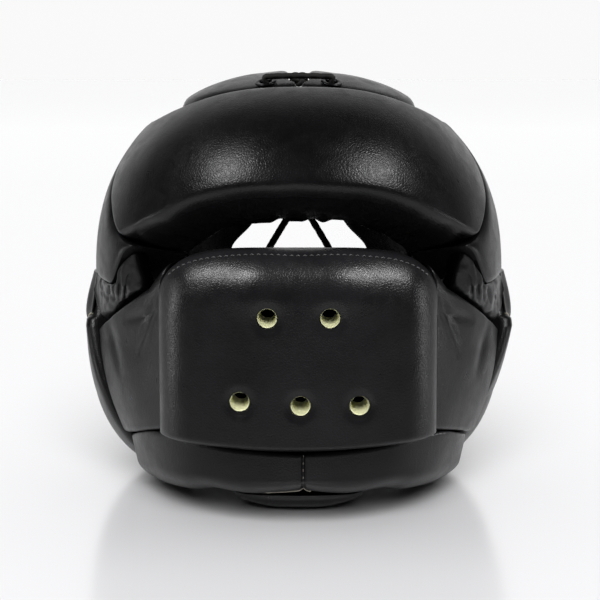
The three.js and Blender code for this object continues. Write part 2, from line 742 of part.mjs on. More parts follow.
add("brow_pad", browPad(), BLACK_LEATHER);
add("chin_pad", chinPad(), BLACK_LEATHER);
add("chin_cup", chinCup(), BLACK_LEATHER);
add("face_bar", faceBar(), BLACK_LEATHER);
VENTS.forEach((vent, i) => add(`vent_liner_${i + 1}`, ventLiner(vent), CREAM_FOAM));

const backSpots = {};
const crownSpots = {};
for (const { word, side } of SIDES) {
  backSpots[word] = BACK_EYELETS.map((eyelet) => backEyelet(side, eyelet));
  crownSpots[word] = CROWN_EYELETS.map((eyelet) => crownEyelet(side, eyelet));
  add(`temple_pad_${word}`, templePad(side), BLACK_LEATHER);
  add(`eye_corner_${word}`, cornerPad(side), BLACK_LEATHER);
  add(`ear_pad_${word}`, earPad(side, EAR_TUCK[word]), BLACK_LEATHER);
  add(`cheek_wing_${word}`, wingPad(side), BLACK_LEATHER);
  add(`side_strap_${word}`, sideStrap(side), STRAP_LEATHER);
  add(`rear_wing_${word}`, rearWing(side, backSpots[word]), BLACK_LEATHER);
  add(`crown_flap_${word}`, crownFlap(side, crownSpots[word]), BLACK_LEATHER);
  BACK_EYELETS.forEach(({ name }, i) =>
    add(`back_eyelet_${name}_${word}`, eyeletRing(SEAM_WALL, backSpots[word][i]), EYELET_METAL),
  );
  CROWN_EYELETS.forEach(({ name }, i) =>
    add(`crown_eyelet_${name}_${word}`, eyeletRing(CROWN.wall, crownSpots[word][i]), EYELET_METAL),
  );
}

// Inside stretches cross one behind the other, and the outside ones run down beside the flaps' edges.
const backKnot = new THREE.Vector3(0, 90, 197);
const backwards = new THREE.Vector3(0, 1, 0);
const backPushes = [
  { way: backwards, middle: 1 },
  { way: backwards, middle: 0.5 },
  { way: backwards, middle: -4 },
  { way: backwards, middle: 0.5 },
  { way: backwards, middle: -5.5 },
];
const backRoute = laceRoute(backSpots.left, backSpots.right, backKnot, backPushes);
add("back_lace", laceTube(backRoute), LACE_CORD);
add("back_knot", laceKnot(backKnot, new THREE.Vector3(0, 0.2, -1).normalize()), LACE_CORD);

const crownKnot = new THREE.Vector3(0, 50, 229);
const upwards = new THREE.Vector3(0, 0, 1);
const crownPushes = [
  { way: upwards, middle: -6 },
  { way: upwards, edge: 1, middle: 1 },
  { way: upwards, middle: 0.5 },
];
const crownRoute = laceRoute(
  [...crownSpots.left].reverse(), [...crownSpots.right].reverse(), crownKnot, crownPushes,
);
add("crown_lace", laceTube(crownRoute), LACE_CORD);
add("crown_knot", laceKnot(crownKnot, new THREE.Vector3(0, 0.9, -0.4).normalize()), LACE_CORD);

export default headgear;
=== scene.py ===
import bpy
import numpy as np
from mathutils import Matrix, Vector


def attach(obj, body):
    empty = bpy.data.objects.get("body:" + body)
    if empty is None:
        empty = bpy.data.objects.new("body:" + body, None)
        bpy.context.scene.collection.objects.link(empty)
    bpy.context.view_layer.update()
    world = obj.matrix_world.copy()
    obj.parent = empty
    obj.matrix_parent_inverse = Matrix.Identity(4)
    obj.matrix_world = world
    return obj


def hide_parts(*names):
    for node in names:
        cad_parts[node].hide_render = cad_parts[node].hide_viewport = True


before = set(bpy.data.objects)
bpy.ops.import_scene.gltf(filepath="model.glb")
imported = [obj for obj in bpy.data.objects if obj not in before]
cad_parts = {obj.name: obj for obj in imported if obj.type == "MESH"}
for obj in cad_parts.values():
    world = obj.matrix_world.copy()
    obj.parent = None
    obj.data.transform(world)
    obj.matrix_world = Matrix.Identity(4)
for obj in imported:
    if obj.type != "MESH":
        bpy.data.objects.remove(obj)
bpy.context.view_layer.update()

mm = 0.001
headAxisY = 25.25  # the head's axis lies this far behind the middle of the part
domeBaseZ = 117.5  # top of the ear pads, where the dome begins
pieceGap = 0.5
sideSigns = {"left": -1, "right": 1}

# The head form, in mm
head = {
    "halfWidth": 78, "halfLength": 97, "innerRise": 103, "outerRise": 113.5,
    "browReach": 149, "templeReach": 118.5, "napeReach": 121, "taper": 0.15, "taperZ": 110,
    "innerPower": 2.4, "outerPower": 2.32, "browPower": 0.68, "napePower": 0.1,
}


# Numbers and tables

def lerp(a, b, t):
    return a + (b - a) * t


def clamp(x):
    return np.clip(x, 0.0, 1.0)


def bell(x, width):
    # a bump of height one that fades over the given width
    return np.exp(-((x / width) ** 2))


def ease(x):
    # from zero to one with level ends
    t = clamp(x)
    return t * t * (3 - 2 * t)


def readTable(rows, column, at):
    # a smooth curve through one column of a table, with slopes from the neighbouring rows
    rows = np.asarray(rows, float)
    x, y = rows[:, 0], rows[:, column]
    before = np.maximum(np.arange(len(x)) - 1, 0)
    after = np.minimum(np.arange(len(x)) + 1, len(x) - 1)
    slope = (y[after] - y[before]) / (x[after] - x[before])
    spot = np.clip(at, x[0], x[-1])
    i = np.clip(np.searchsorted(x, spot) - 1, 0, len(x) - 2)
    step = x[i + 1] - x[i]
    t = (spot - x[i]) / step
    start = y[i] * (1 + 2 * t) * (1 - t) ** 2 + slope[i] * step * t * (1 - t) ** 2
    return start + y[i + 1] * t * t * (3 - 2 * t) - slope[i + 1] * step * t * t * (1 - t)


def crowded(count, *spots):
    # steps from 0 to 1, closer together round each spot, which is a place, a width and a weight
    t = np.linspace(0, 1, 4001)
    density = 1 + sum(weight * bell(t - place, width) for place, width, weight in spots)
    run = np.concatenate([[0], np.cumsum((density[1:] + density[:-1]) / 2)])
    return np.interp(np.linspace(0, 1, count), run / run[-1], t)


def lumps(points, size, seed):
    # random heights on a lattice of the given size, blended smoothly between its corners
    lattice = np.random.default_rng(seed).uniform(-1, 1, (24, 24, 24))
    scaled = points / size
    cell = np.floor(scaled).astype(int)
    t = ease(scaled - cell)
    total = 0
    for corner in np.ndindex(2, 2, 2):
        k = (cell + np.array(corner)) % 24
        share = np.prod(np.where(np.array(corner) == 1, t, 1 - t), axis=-1)
        total = total + share * lattice[k[..., 0], k[..., 1], k[..., 2]]
    return total


def lumpsAlong(along, size, seed):
    # the same on a line
    return lumps(np.stack([along / size, 0 * along, 0 * along], axis=-1), 1, seed)


# The head form: angles in degrees from the middle of the face. A height below zero is in mm under the
# dome's base, and above zero it is an angle up the dome.

def ellipseReach(halfWidth, halfLength, angle):
    # from the middle of an ellipse to its rim
    turn = np.radians(angle)
    return 1 / np.hypot(np.sin(turn) / halfWidth, np.cos(turn) / halfLength)


def edgeRoll(distance, radius):
    # how full a pad is at a distance from its sewn edge: a quarter round
    return np.sqrt(1 - (1 - clamp(distance / radius)) ** 2)


def domeReach(side, top, power, rise):
    # a rounded dome: the side and top shares, each to the power, sum to one
    across = np.cos(np.radians(rise)) / side
    up = np.sin(np.radians(rise)) / top
    return (across**power + up**power) ** (-1 / power)


def liningReach(angle, height):
    # the inside of the shell: a rounded dome over a neck that narrows towards the floor
    radius = ellipseReach(head["halfWidth"], head["halfLength"], angle)
    drop = clamp(1 - (domeBaseZ + height) / head["taperZ"])
    below = radius * (1 - head["taper"] * drop**1.5)
    dome = domeReach(radius, head["innerRise"], head["innerPower"], np.maximum(height, 0))
    return np.where(height > 0, dome, below)


def domeOuterReach(angle, height):
    # the outside of the dome, fuller at the brow than at the temples
    facing = np.cos(np.radians(angle))
    power = head["outerPower"] + head["browPower"] * np.maximum(facing, 0) ** 2
    power = power + head["napePower"] * np.maximum(-facing, 0) ** 2
    length = np.where(np.abs(angle) < 90, head["browReach"], head["napeReach"])
    side = ellipseReach(head["templeReach"], length, angle)
    return domeReach(side, head["outerRise"], power, np.maximum(height, 0))


def onHead(side, angle, height, reach):
    turn = np.radians(angle)
    rise = np.radians(np.maximum(height, 0))
    out = reach * np.cos(rise)
    z = domeBaseZ + np.minimum(height, 0) + reach * np.sin(rise)
    return np.stack([side * out * np.sin(turn), headAxisY - out * np.cos(turn), z], axis=-1)


# Meshes

def turns(count):
    # angles once round in equal steps
    return 2 * np.pi * np.arange(count) / count


def unit(vectors):
    return vectors / np.maximum(np.linalg.norm(vectors, axis=-1, keepdims=True), 1e-9)


def gridQuads(rows, columns, start=0):
    a = start + (np.arange(rows - 1)[:, None] * columns + np.arange(columns - 1)).ravel()
    return np.stack([a, a + 1, a + columns + 1, a + columns], axis=1)


def gridNormals(grid, away):
    # across both directions of a grid, turned to the side that away points to
    normal = unit(np.cross(np.gradient(grid, axis=1), np.gradient(grid, axis=0)))
    return normal * np.sign(np.sum(normal * away))


def facedOut(points, quads):
    # quads turned over where the volume that they close comes out below zero
    a, b, c, d = (points[quads[:, i]] for i in range(4))
    volume = np.sum(a * np.cross(b, c)) + np.sum(a * np.cross(c, d))
    return quads if volume > 0 else quads[:, ::-1]


def closePad(outer, inner, rim=3, bulge=1.0):
    # two grids joined round their borders by a few rings, which hang back outside where bulge is over one
    rows, columns = outer.shape[:2]
    count = rows * columns
    k = np.arange(count).reshape(rows, columns)
    edge = np.concatenate([k[0, :-1], k[:-1, -1], k[-1, :0:-1], k[:0:-1, 0]])
    out, back = outer.reshape(-1, 3), inner.reshape(-1, 3)
    steps = [(i + 1) / (rim + 1) for i in range(rim)]
    middles = [lerp(out[edge], back[edge], np.array([t**bulge, t**bulge, t])) for t in steps]
    rings = [edge, *[2 * count + i * len(edge) + np.arange(len(edge)) for i in range(rim)], count + edge]
    quads = [gridQuads(rows, columns), gridQuads(rows, columns, count)[:, ::-1]]
    for a, b in zip(rings, rings[1:]):
        quads.append(np.stack([a, b, np.roll(b, -1), np.roll(a, -1)], axis=1))
    points = np.concatenate([out, back, *middles])
    return points, facedOut(points, np.concatenate(quads))


def turnedMesh(grid):
    # a closed section turned once round, from a grid of its points
    points = grid.reshape(-1, 3)
    k = np.arange(len(points)).reshape(grid.shape[:2])
    onward = np.roll(k, -1, 1)
    quads = np.stack([k, onward, np.roll(onward, -1, 0), np.roll(k, -1, 0)], axis=-1).reshape(-1, 4)
    return points, facedOut(points, quads)


def addPiece(name, points, faces, finish, slot, nodes=(), fill=None, sharp=40):
    mesh = bpy.data.meshes.new(name)
    mesh.from_pydata((np.asarray(points) * mm).tolist(), [], [list(f) for f in faces])
    mesh.validate()
    mesh.shade_smooth()
    mesh.set_sharp_from_angle(angle=np.radians(sharp))
    mesh.materials.append(finish)
    piece = bpy.data.objects.new(name, mesh)
    bpy.context.scene.collection.objects.link(piece)
    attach(piece, "root")
    if nodes:
        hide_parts(*nodes)
    return piece


def tubeMesh(route, radius, sides):
    # a ring carried along a route, closed at both ends; radius is one size or one for each point of a ring
    tangent = unit(np.gradient(route, axis=0))
    across = [unit(np.cross(tangent[0], [0.31, 0.59, 0.74]))]  # square to the route, from any slanting line
    for ahead in tangent[1:]:  # each ring turns no more than the route does
        across.append(unit(across[-1] - ahead * np.dot(across[-1], ahead)))
    across = np.array(across)
    other = np.cross(tangent, across)
    turn = turns(sides)
    size = np.broadcast_to(radius, (len(route), sides))[..., None]
    ring = np.cos(turn)[None, :, None] * across[:, None] + np.sin(turn)[None, :, None] * other[:, None]
    rings = route[:, None] + size * ring
    k = np.arange(len(route) * sides).reshape(len(route), sides)
    a, b = k[:-1], k[1:]
    quads = np.stack([a, np.roll(a, -1, 1), np.roll(b, -1, 1), b], axis=-1).reshape(-1, 4)
    points = np.concatenate([rings.reshape(-1, 3), route[:1], route[-1:]])
    count = len(k) * sides
    caps = np.concatenate([
        np.stack([np.full(sides, count), np.roll(k[0], -1), k[0]], axis=1),
        np.stack([np.full(sides, count + 1), k[-1], np.roll(k[-1], -1)], axis=1),
    ])
    faced = facedOut(points, quads)
    return points, faced, caps if faced is quads else caps[:, ::-1]


def joined(parts):
    # several meshes of points and face lists as one
    points, faces, start = [], [], 0
    for part in parts:
        points.append(part[0])
        for group in part[1:]:
            faces.extend((group + start).tolist())
        start += len(part[0])
    return np.concatenate(points), faces


def alongRoute(route, pitch):
    # the same route with points a fixed distance apart, and how far along it each is
    run = np.concatenate([[0], np.cumsum(np.linalg.norm(np.diff(route, axis=0), axis=1))])
    at = np.linspace(0, run[-1], max(int(round(run[-1] / pitch)), 2) + 1)
    return np.stack([np.interp(at, run, route[:, i]) for i in range(route.shape[1])], axis=1), at


def stitchRow(route, normal, pitch, length, radius):
    # short rounded threads laid end to end along a route, each sunk a little at its ends
    both, _ = alongRoute(np.concatenate([route, normal], axis=1), pitch)
    middle, up = both[:, :3], unit(both[:, 3:])
    tangent = unit(np.gradient(middle, axis=0))
    side = np.cross(tangent, up)
    turn = turns(6)
    t = np.array([-0.5, -0.42, 0, 0.42, 0.5])
    thick = np.array([0.35, 0.9, 1.0, 0.9, 0.35])
    arch = 0.5 * radius - 1.6 * radius * (2 * t) ** 2
    ring = radius * thick[:, None, None] * (
        np.cos(turn)[None, :, None] * up[:, None, None] + np.sin(turn)[None, :, None] * side[:, None, None]
    )
    centre = middle[:, None] + length * t[None, :, None] * tangent[:, None]
    centre = centre + arch[None, :, None] * up[:, None]
    points = (centre[:, :, None] + ring).reshape(-1, 3)
    k = np.arange(len(points)).reshape(len(middle), len(t), len(turn))
    a, b = k[:, :-1], k[:, 1:]
    sleeve = np.stack([a, np.roll(a, -1, 2), np.roll(b, -1, 2), b], axis=-1).reshape(-1, 4)
    ends = np.concatenate([k[:, 0], k[:, -1, ::-1]])
    return points, sleeve, ends


def addStitches(name, route, normal, finish, size):
    threads = stitchRow(route, normal, size["pitch"], size["length"], size["radius"])
    addPiece(name, *joined([threads]), finish, "black_leather")


def cutHoles(piece, spots, radius, length):
    # drills a round hole along each spot's direction
    parts = []
    for point, way in spots:
        route = point + np.linspace(-0.5, 0.5, 3)[:, None] * length * way
        parts.append(tubeMesh(route, radius, 48))
    points, faces = joined(parts)
    mesh = bpy.data.meshes.new("drills")
    mesh.from_pydata((points * mm).tolist(), [], faces)
    drills = bpy.data.objects.new("drills", mesh)
    bpy.context.scene.collection.objects.link(drills)
    cut = piece.modifiers.new("holes", "BOOLEAN")
    cut.object = drills
    cut.operation = "DIFFERENCE"
    cut.solver = "EXACT"
    graph = bpy.context.evaluated_depsgraph_get()
    made = bpy.data.meshes.new_from_object(piece.evaluated_get(graph))
    piece.modifiers.clear()
    piece.data = made
    bpy.data.objects.remove(drills)
    made.set_sharp_from_angle(angle=np.radians(40))


# Finishes

def fromHex(code):
    # sRGB hex to linear
    c = np.array([int(code[i:i + 2], 16) for i in (1, 3, 5)]) / 255
    return (*np.where(c <= 0.04045, c / 12.92, ((c + 0.055) / 1.055) ** 2.4), 1.0)


def addNode(tree, kind, sockets=None, **settings):
    node = tree.nodes.new(kind)
    for key, value in settings.items():
        setattr(node, key, value)
    for key, value in (sockets or {}).items():
        if isinstance(value, bpy.types.NodeSocket):
            tree.links.new(value, node.inputs[key])
        else:
            node.inputs[key].default_value = value
    return node


def startFinish(name):
    finish = bpy.data.materials.new(name)
    finish.use_nodes = True
    tree = finish.node_tree
    place = addNode(tree, "ShaderNodeTexCoord").outputs["Object"]
    return finish, tree, tree.nodes["Principled BSDF"], place


leatherLook = {
    "deep": "#0b0b0c", "worn": "#171618", "grainMm": 1.5, "creaseMm": 9, "mottleMm": 38,
    "smooth": 0.27, "dull": 0.4, "grainDepthMm": 0.06, "creaseDepthMm": 0.09, "shine": 0.26,
}


def makeLeather(name, look):
    # finished cowhide: near black, half gloss, with a fine pebble grain that breaks up the highlights
    finish, tree, shader, place = startFinish(name)
    mottle = addNode(tree, "ShaderNodeTexNoise", {
        "Vector": place, "Scale": 1 / (look["mottleMm"] * mm), "Detail": 4.0, "Roughness": 0.55})
    drift = addNode(tree, "ShaderNodeTexNoise", {
        "Vector": place, "Scale": 1 / (2.2 * look["grainMm"] * mm), "Detail": 2.0})
    shift = addNode(tree, "ShaderNodeVectorMath", {
        0: drift.outputs["Color"], 1: (-0.5, -0.5, -0.5)}, operation="ADD")
    small = addNode(tree, "ShaderNodeVectorMath", {
        0: shift.outputs[0], "Scale": 0.9 * look["grainMm"] * mm}, operation="SCALE")
    moved = addNode(tree, "ShaderNodeVectorMath", {0: place, 1: small.outputs[0]}, operation="ADD")
    pebble = addNode(tree, "ShaderNodeTexVoronoi", {
        "Vector": moved.outputs[0], "Scale": 1 / (look["grainMm"] * mm), "Randomness": 1.0},
        feature="DISTANCE_TO_EDGE")
    grain = addNode(tree, "ShaderNodeMapRange", {
        "Value": pebble.outputs["Distance"], "From Min": 0.0, "From Max": 0.28},
        interpolation_type="SMOOTHSTEP")
    crease = addNode(tree, "ShaderNodeTexNoise", {
        "Vector": place, "Scale": 1 / (look["creaseMm"] * mm), "Detail": 5.0, "Roughness": 0.6,
        "Distortion": 0.6})
    tone = addNode(tree, "ShaderNodeMapRange", {
        "Value": mottle.outputs["Fac"], "From Min": 0.3, "From Max": 0.72})
    colour = addNode(tree, "ShaderNodeMix", {
        0: tone.outputs["Result"], 6: fromHex(look["deep"]), 7: fromHex(look["worn"])}, data_type="RGBA")
    gloss = addNode(tree, "ShaderNodeMapRange", {
        "Value": crease.outputs["Fac"], "From Min": 0.3, "From Max": 0.7,
        "To Min": look["smooth"], "To Max": look["dull"]})
    broad = addNode(tree, "ShaderNodeBump", {
        "Height": crease.outputs["Fac"], "Strength": 0.6, "Distance": look["creaseDepthMm"] * mm})
    fine = addNode(tree, "ShaderNodeBump", {
        "Height": grain.outputs["Result"], "Normal": broad.outputs["Normal"],
        "Strength": 0.7, "Distance": look["grainDepthMm"] * mm})
    tree.links.new(colour.outputs[2], shader.inputs["Base Color"])
    tree.links.new(gloss.outputs["Result"], shader.inputs["Roughness"])
    tree.links.new(fine.outputs["Normal"], shader.inputs["Normal"])
    shader.inputs["Specular IOR Level"].default_value = look["shine"]
    return finish


blackLeather = makeLeather("black_cowhide", leatherLook)
# the straps are a shade paler, with closer creases
strapLeather = makeLeather("strap_cowhide", {
    **leatherLook, "deep": "#111011", "worn": "#201f20", "creaseMm": 6})
# the lining, matt as the unpolished side, made darker than the outside as painted shade; it covers the inner
# walls, the pads' rims and the brow's low edge
liningAndShadeLeather = makeLeather("lining_and_painted_shade_cowhide", {
    **leatherLook, "deep": "#070608", "worn": "#100f11", "smooth": 0.42, "dull": 0.6, "creaseMm": 7,
    "shine": 0.1})


def makePlain(name, low, high, rough, sizeMm, depthMm, metallic=0.0):
    # two close tones mottled at one real size, with a bump of that size
    finish, tree, shader, place = startFinish(name)
    speck = addNode(tree, "ShaderNodeTexNoise", {
        "Vector": place, "Scale": 1 / (sizeMm * mm), "Detail": 4.0, "Roughness": 0.6})
    tone = addNode(tree, "ShaderNodeMapRange", {
        "Value": speck.outputs["Fac"], "From Min": 0.3, "From Max": 0.7})
    colour = addNode(tree, "ShaderNodeMix", {
        0: tone.outputs["Result"], 6: fromHex(low), 7: fromHex(high)}, data_type="RGBA")
    bump = addNode(tree, "ShaderNodeBump", {
        "Height": speck.outputs["Fac"], "Strength": 0.8, "Distance": depthMm * mm})
    tree.links.new(colour.outputs[2], shader.inputs["Base Color"])
    tree.links.new(bump.outputs["Normal"], shader.inputs["Normal"])
    shader.inputs["Roughness"].default_value = rough
    shader.inputs["Metallic"].default_value = metallic
    return finish


# cut closed-cell foam, matt and pitted
foamSkin = makePlain("cream_eva_foam", "#b9ba8e", "#e6e5c4", 0.85, 1.2, 0.25)
# braided, so it shows dull black
laceCord = makePlain("braided_nylon_cord", "#0e0e0d", "#1f1e1c", 0.7, 0.6, 0.1)
# stoved black over metal, with a satin sheen
eyeletMetal = makePlain("black_enamelled_brass", "#1c1c1e", "#343436", 0.32, 2.0, 0.03, 0.85)
# grey where it has rubbed
threadNylon = makePlain("waxed_nylon_thread", "#4a484a", "#777577", 0.5, 0.5, 0.05)
# cut leather, pale at its edge
rawEdge = makePlain("raw_cowhide_edge", "#8d887b", "#c4bfae", 0.75, 0.8, 0.1)
print("finishes made")


# Pads

seamTuck = 6  # the inner wall draws back this near to an edge
lipFrom, lipRun = 14, 40  # a lip starts this far from a pad's ends, and is full this much further on


def padSheets(side, size, spot, inner, outer, columns, rows, tuck=2.0):
    # inner wall on the lining, outer wall raised by the product of a quarter round from each edge. A sewn
    # edge keeps a share of the fullness, and lip moves the bulge along the low edge up or down.
    u, v = np.meshgrid(columns, rows)
    angle, height = spot(u, v)
    near = inner(angle, height)
    left, right = u * size["span"], (1 - u) * size["span"]
    under, over = v * size["rise"], (1 - v) * size["rise"]
    fill = 1.0
    keeps = size.get("keep", (0, 0, 0, 0))
    for distance, radius, keep in zip((left, right, under, over), size["rolls"], keeps):
        fill = fill * lerp(keep, 1, edgeRoll(distance, radius))
    wall = size["seam"] + np.maximum(outer(angle, height) - near - size["seam"], 0) * fill
    toEdge = np.minimum(np.minimum(left, right), np.minimum(under, over))
    back = tuck * (1 - edgeRoll(toEdge, seamTuck))
    sheets = {
        "u": u, "v": v, "angle": angle, "under": under, "right": right,
        "outer": onHead(side, angle, height, near + wall),
        "inner": onHead(side, angle, height, near + back),
    }
    inside = ease((left - lipFrom) / lipRun) * ease((right - lipFrom) / lipRun)
    if "lipAngle" in size:
        inside = inside * (1 - ease(np.abs(angle) / size["lipAngle"]))
    droop = inside * edgeRoll(under, size["rolls"][2]) * (1 - v) ** 3
    sheets["outer"][..., 2] += size.get("lip", 0) * droop
    sheets["normal"] = gridNormals(sheets["outer"], sheets["outer"] - sheets["inner"])
    return sheets


def raised(sheets, lift, which="outer"):
    # moves a wall along the pad's own normals
    way = sheets["normal"] if which == "outer" else -sheets["normal"]
    sheets[which] = sheets[which] + lift[..., None] * way


def hide(points, broad, seed):
    # the slight unevenness of stuffed leather
    return broad * lumps(points, 46, seed) + 0.3 * broad * lumps(points, 17, seed + 1)


def seamPuckers(toEdge, along, seed, pitch, reach, depth):
    # small dents beside a sewn edge, uneven in depth, fading away from it
    return -depth * bell(toEdge, reach) * (0.5 + 0.9 * lumpsAlong(along, pitch, seed))


def padPiece(name, sheets, node, fill, paintedShadeTo=0.0):
    # leather outside; the darker matt lining, which paints shade, on the inner wall, the rim and the
    # outside's low edge up to the given share of its rise
    for wall in ("outer", "inner"):
        sheets[wall][..., 2] = np.maximum(sheets[wall][..., 2], 0)  # pressed flat on the floor
    points, quads = closePad(sheets["outer"], sheets["inner"])
    piece = addPiece(name, points, quads, blackLeather, "black_leather", (node,), fill)
    piece.data.materials.append(liningAndShadeLeather)
    shown = (sheets["v"][:-1, :-1] >= paintedShadeTo).ravel()
    liningAndShade = np.ones(len(quads), dtype=np.int32)
    liningAndShade[:len(shown)] = np.where(shown, 0, 1)
    piece.data.polygons.foreach_set("material_index", liningAndShade)
    return piece


browPad = {
    "corner": 43.5, "span": 280, "rise": 84, "seam": 4, "rolls": (7, 7, 9, 12),
    # the brow's low edge takes the darker lining finish as painted shade, over a small share of its rise
    "keep": (0.85, 0.85, 0, 0.1), "lip": -6.5, "paintedShadeTo": 0.045, "fill": 0.9,
}
browRows = [  # angle, and the rise of the low and top edges
    (0, 21.6, 58), (16, 20.8, 57.6), (26, 18.6, 56.8), (37, 14, 55), (44, 10.4, 53.6), (60, 7, 50.5),
    (76, 5, 49)]
browSeamRows = [  # share of the way up the end seam, and its angle
    (0, 43.5), (0.09, 51), (0.18, 56), (0.28, 60.5), (0.47, 69.5), (0.62, 73.5), (1, 76)]


def browEdge(angle, column):
    return readTable(browRows, column, np.abs(angle))


def browSeamAngle(share):
    return readTable(browSeamRows, 1, share)


def browSeamRise(share):
    angle = browSeamAngle(share)
    return lerp(browEdge(angle, 1), browEdge(angle, 2), share)


def browSpot(u, v):
    angle = lerp(-browSeamAngle(v), browSeamAngle(v), u)
    return angle, lerp(browEdge(angle, 1), browEdge(angle, 2), v)


sheets = padSheets(
    1, browPad, browSpot, liningReach, domeOuterReach,
    crowded(230, (0, 0.02, 5), (1, 0.02, 5)), crowded(96, (0, 0.05, 5), (1, 0.05, 5)))
along = sheets["u"] * browPad["span"]
raised(sheets, hide(sheets["outer"], 0.55, 3) + seamPuckers(sheets["under"], along, 4, 9, 6, 0.7))
raised(sheets, 1.2 * lumpsAlong(along, 11, 9) * bell(sheets["under"], 16), "inner")
padPiece("brow_cover", sheets, "brow_pad", browPad["fill"], browPad["paintedShadeTo"])
print("brow made")

rearTop = 49
sideEnd = 124
templePad = {
    "corner": 57, "span": 120, "rise": 95, "seam": 12, "rolls": (7, 12, 4, 9), "keep": (0.88, 0, 0.95, 0),
    "fill": 0.85,
}


def templeBack(angle):
    return ease((angle - browPad["corner"]) / (templePad["corner"] - browPad["corner"]))


def templeLowRise(angle):
    # the lower edge comes down beside the eye and then runs back level
    return lerp(browSeamRise(0), pieceGap / 2, templeBack(angle))


def templeSpot(u, v):
    angle = lerp(browSeamAngle(v) + pieceGap, sideEnd, u)
    back = templeBack(lerp(browPad["corner"] + pieceGap, sideEnd, u))
    return angle, lerp(browSeamRise(v), lerp(pieceGap / 2, rearTop, v), back)


for word, side in sideSigns.items():
    sheets = padSheets(
        side, templePad, templeSpot, liningReach, domeOuterReach,
        crowded(110, (0, 0.05, 5), (1, 0.06, 4)), crowded(96, (0, 0.04, 5), (1, 0.05, 4)))
    raised(sheets, hide(sheets["outer"], 0.5, 21 + side))
    raised(sheets, 0.9 * lumps(sheets["inner"], 14, 31 + side), "inner")
    padPiece(f"temple_cover_{word}", sheets, f"temple_pad_{word}", templePad["fill"])

earPad = {
    "reach": 126, "bellyZ": 86, "tuck": {"left": 2.5, "right": 7}, "span": 95, "rise": 118, "seam": 8,
    "root": 70, "topDraw": 5, "lowPower": 2.8, "tuckRate": 2.2, "frontDepth": 0.8, "rearDepth": 0.7,
    "stepLow": 3, "stepRun": 2, "rolls": (6, 10, 9, 2), "keep": (0.85, 0, 0, 0.92), "fill": 0.85,
}
earSeam = {"angle": 65, "lean": 0.245, "fromZ": 29}
strap = {
    "lowZ": 84.5, "topZ": 117, "wall": 2.4, "front": 83, "rear": 122.5, "lift": 0.7, "belly": 1.4,
    "upturn": 9, "upturnRun": 14, "thinRun": 0.16, "endWall": 0.3, "endLift": 0.35, "edgeRadius": 0.65,
}


def earSeamAngle(z):
    # the seam between the cheek wing and the ear pad leans back as it rises
    return earSeam["angle"] + earSeam["lean"] * (z - earSeam["fromZ"])


def strapLow(angle):
    # the strap's low edge rises to its front end
    return strap["lowZ"] + strap["upturn"] * (1 - ease((angle - strap["front"]) / strap["upturnRun"]))


def earOuterReach(angle, height, tuck=0.0):
    # fullest at the belly, with a step in under the strap
    z = domeBaseZ + height
    under = clamp((earPad["bellyZ"] - z) / earPad["bellyZ"])
    over = clamp((z - earPad["bellyZ"]) / (domeBaseZ - earPad["bellyZ"]))
    step = clamp((z - strapLow(angle) + earPad["stepLow"]) / earPad["stepRun"])
    seat = (strap["wall"] + strap["lift"]) * step
    belly = earPad["root"] + (earPad["reach"] - earPad["root"]) * np.sqrt(1 - under ** earPad["lowPower"])
    belly = belly - seat - earPad["topDraw"] * over - tuck * clamp(earPad["tuckRate"] * under)
    depth = np.where(angle < 90, earPad["frontDepth"], earPad["rearDepth"])
    return belly * ellipseReach(1, depth, angle)


def earSpot(u, v):
    z = lerp(0, domeBaseZ - pieceGap, v)
    return lerp(earSeamAngle(z) + pieceGap, sideEnd, u), z - domeBaseZ


for word, side in sideSigns.items():
    sheets = padSheets(
        side, earPad, earSpot, liningReach,
        lambda angle, height: earOuterReach(angle, height, earPad["tuck"][word]),
        crowded(84, (0, 0.03, 5), (1, 0.05, 5)), crowded(130, (0, 0.03, 5), (0.735, 0.02, 5), (1, 0.01, 4)))
    raised(sheets, hide(sheets["outer"], 0.5, 41 + side))
    raised(sheets, 0.9 * lumps(sheets["inner"], 14, 51 + side), "inner")
    padPiece(f"ear_cover_{word}", sheets, f"ear_pad_{word}", earPad["fill"])

print("temples and ears made")

wingPad = {
    "front": 34.6, "frontLow": 42.9, "frontTop": 125, "rearLow": 29.2, "rearTop": 86.5, "wall": 23,
    "frontX": 72, "frontY": 104, "rearX": 116, "rearY": 25, "sweep": 43, "belly": 16,
    "drawX": 16, "drawY": 10, "drawTopZ": 82, "drawRise": 53,
    "span": 95, "rise": 68, "seam": 6, "rolls": (4, 4, 3, 3.5), "keep": (0.7, 0.8, 0.8, 0.55), "fill": 0.8,
}


def wingOuterReach(angle, height):
    # straight in plan from the face bar to the ear seam, with a slight belly, and drawn in low down
    low = clamp((wingPad["drawTopZ"] - (domeBaseZ + height)) / wingPad["drawRise"])
    frontX, frontY = wingPad["frontX"], wingPad["frontY"]
    runX = wingPad["rearX"] - wingPad["drawX"] * low * low - frontX
    runY = wingPad["rearY"] + wingPad["drawY"] * low - frontY
    turn = np.radians(angle)
    bulge = clamp((angle - wingPad["front"]) / wingPad["sweep"])
    straight = (frontY * runX - frontX * runY) / (np.cos(turn) * runX - np.sin(turn) * runY)
    return straight + wingPad["belly"] * bulge * (1 - bulge)


def wingSpot(u, v):
    frontZ = lerp(wingPad["frontLow"], wingPad["frontTop"], v)
    rearZ = lerp(wingPad["rearLow"], wingPad["rearTop"], v)
    angle = lerp(wingPad["front"], earSeamAngle(rearZ) - pieceGap / 2, u)
    return angle, lerp(frontZ, rearZ, u) - domeBaseZ


def foldLines(sheets, folds):
    # creases along lines across the pad, each fading at both of its ends
    u, v = sheets["u"], sheets["v"]
    total = 0
    for start, end, width, depth in folds:
        run = np.subtract(end, start)
        t = clamp(((u - start[0]) * run[0] + (v - start[1]) * run[1]) / np.dot(run, run))
        away = np.hypot(u - start[0] - t * run[0], v - start[1] - t * run[1])
        total = total - depth * bell(away, width) * (1 - 0.6 * (2 * t - 1) ** 2)
    return total


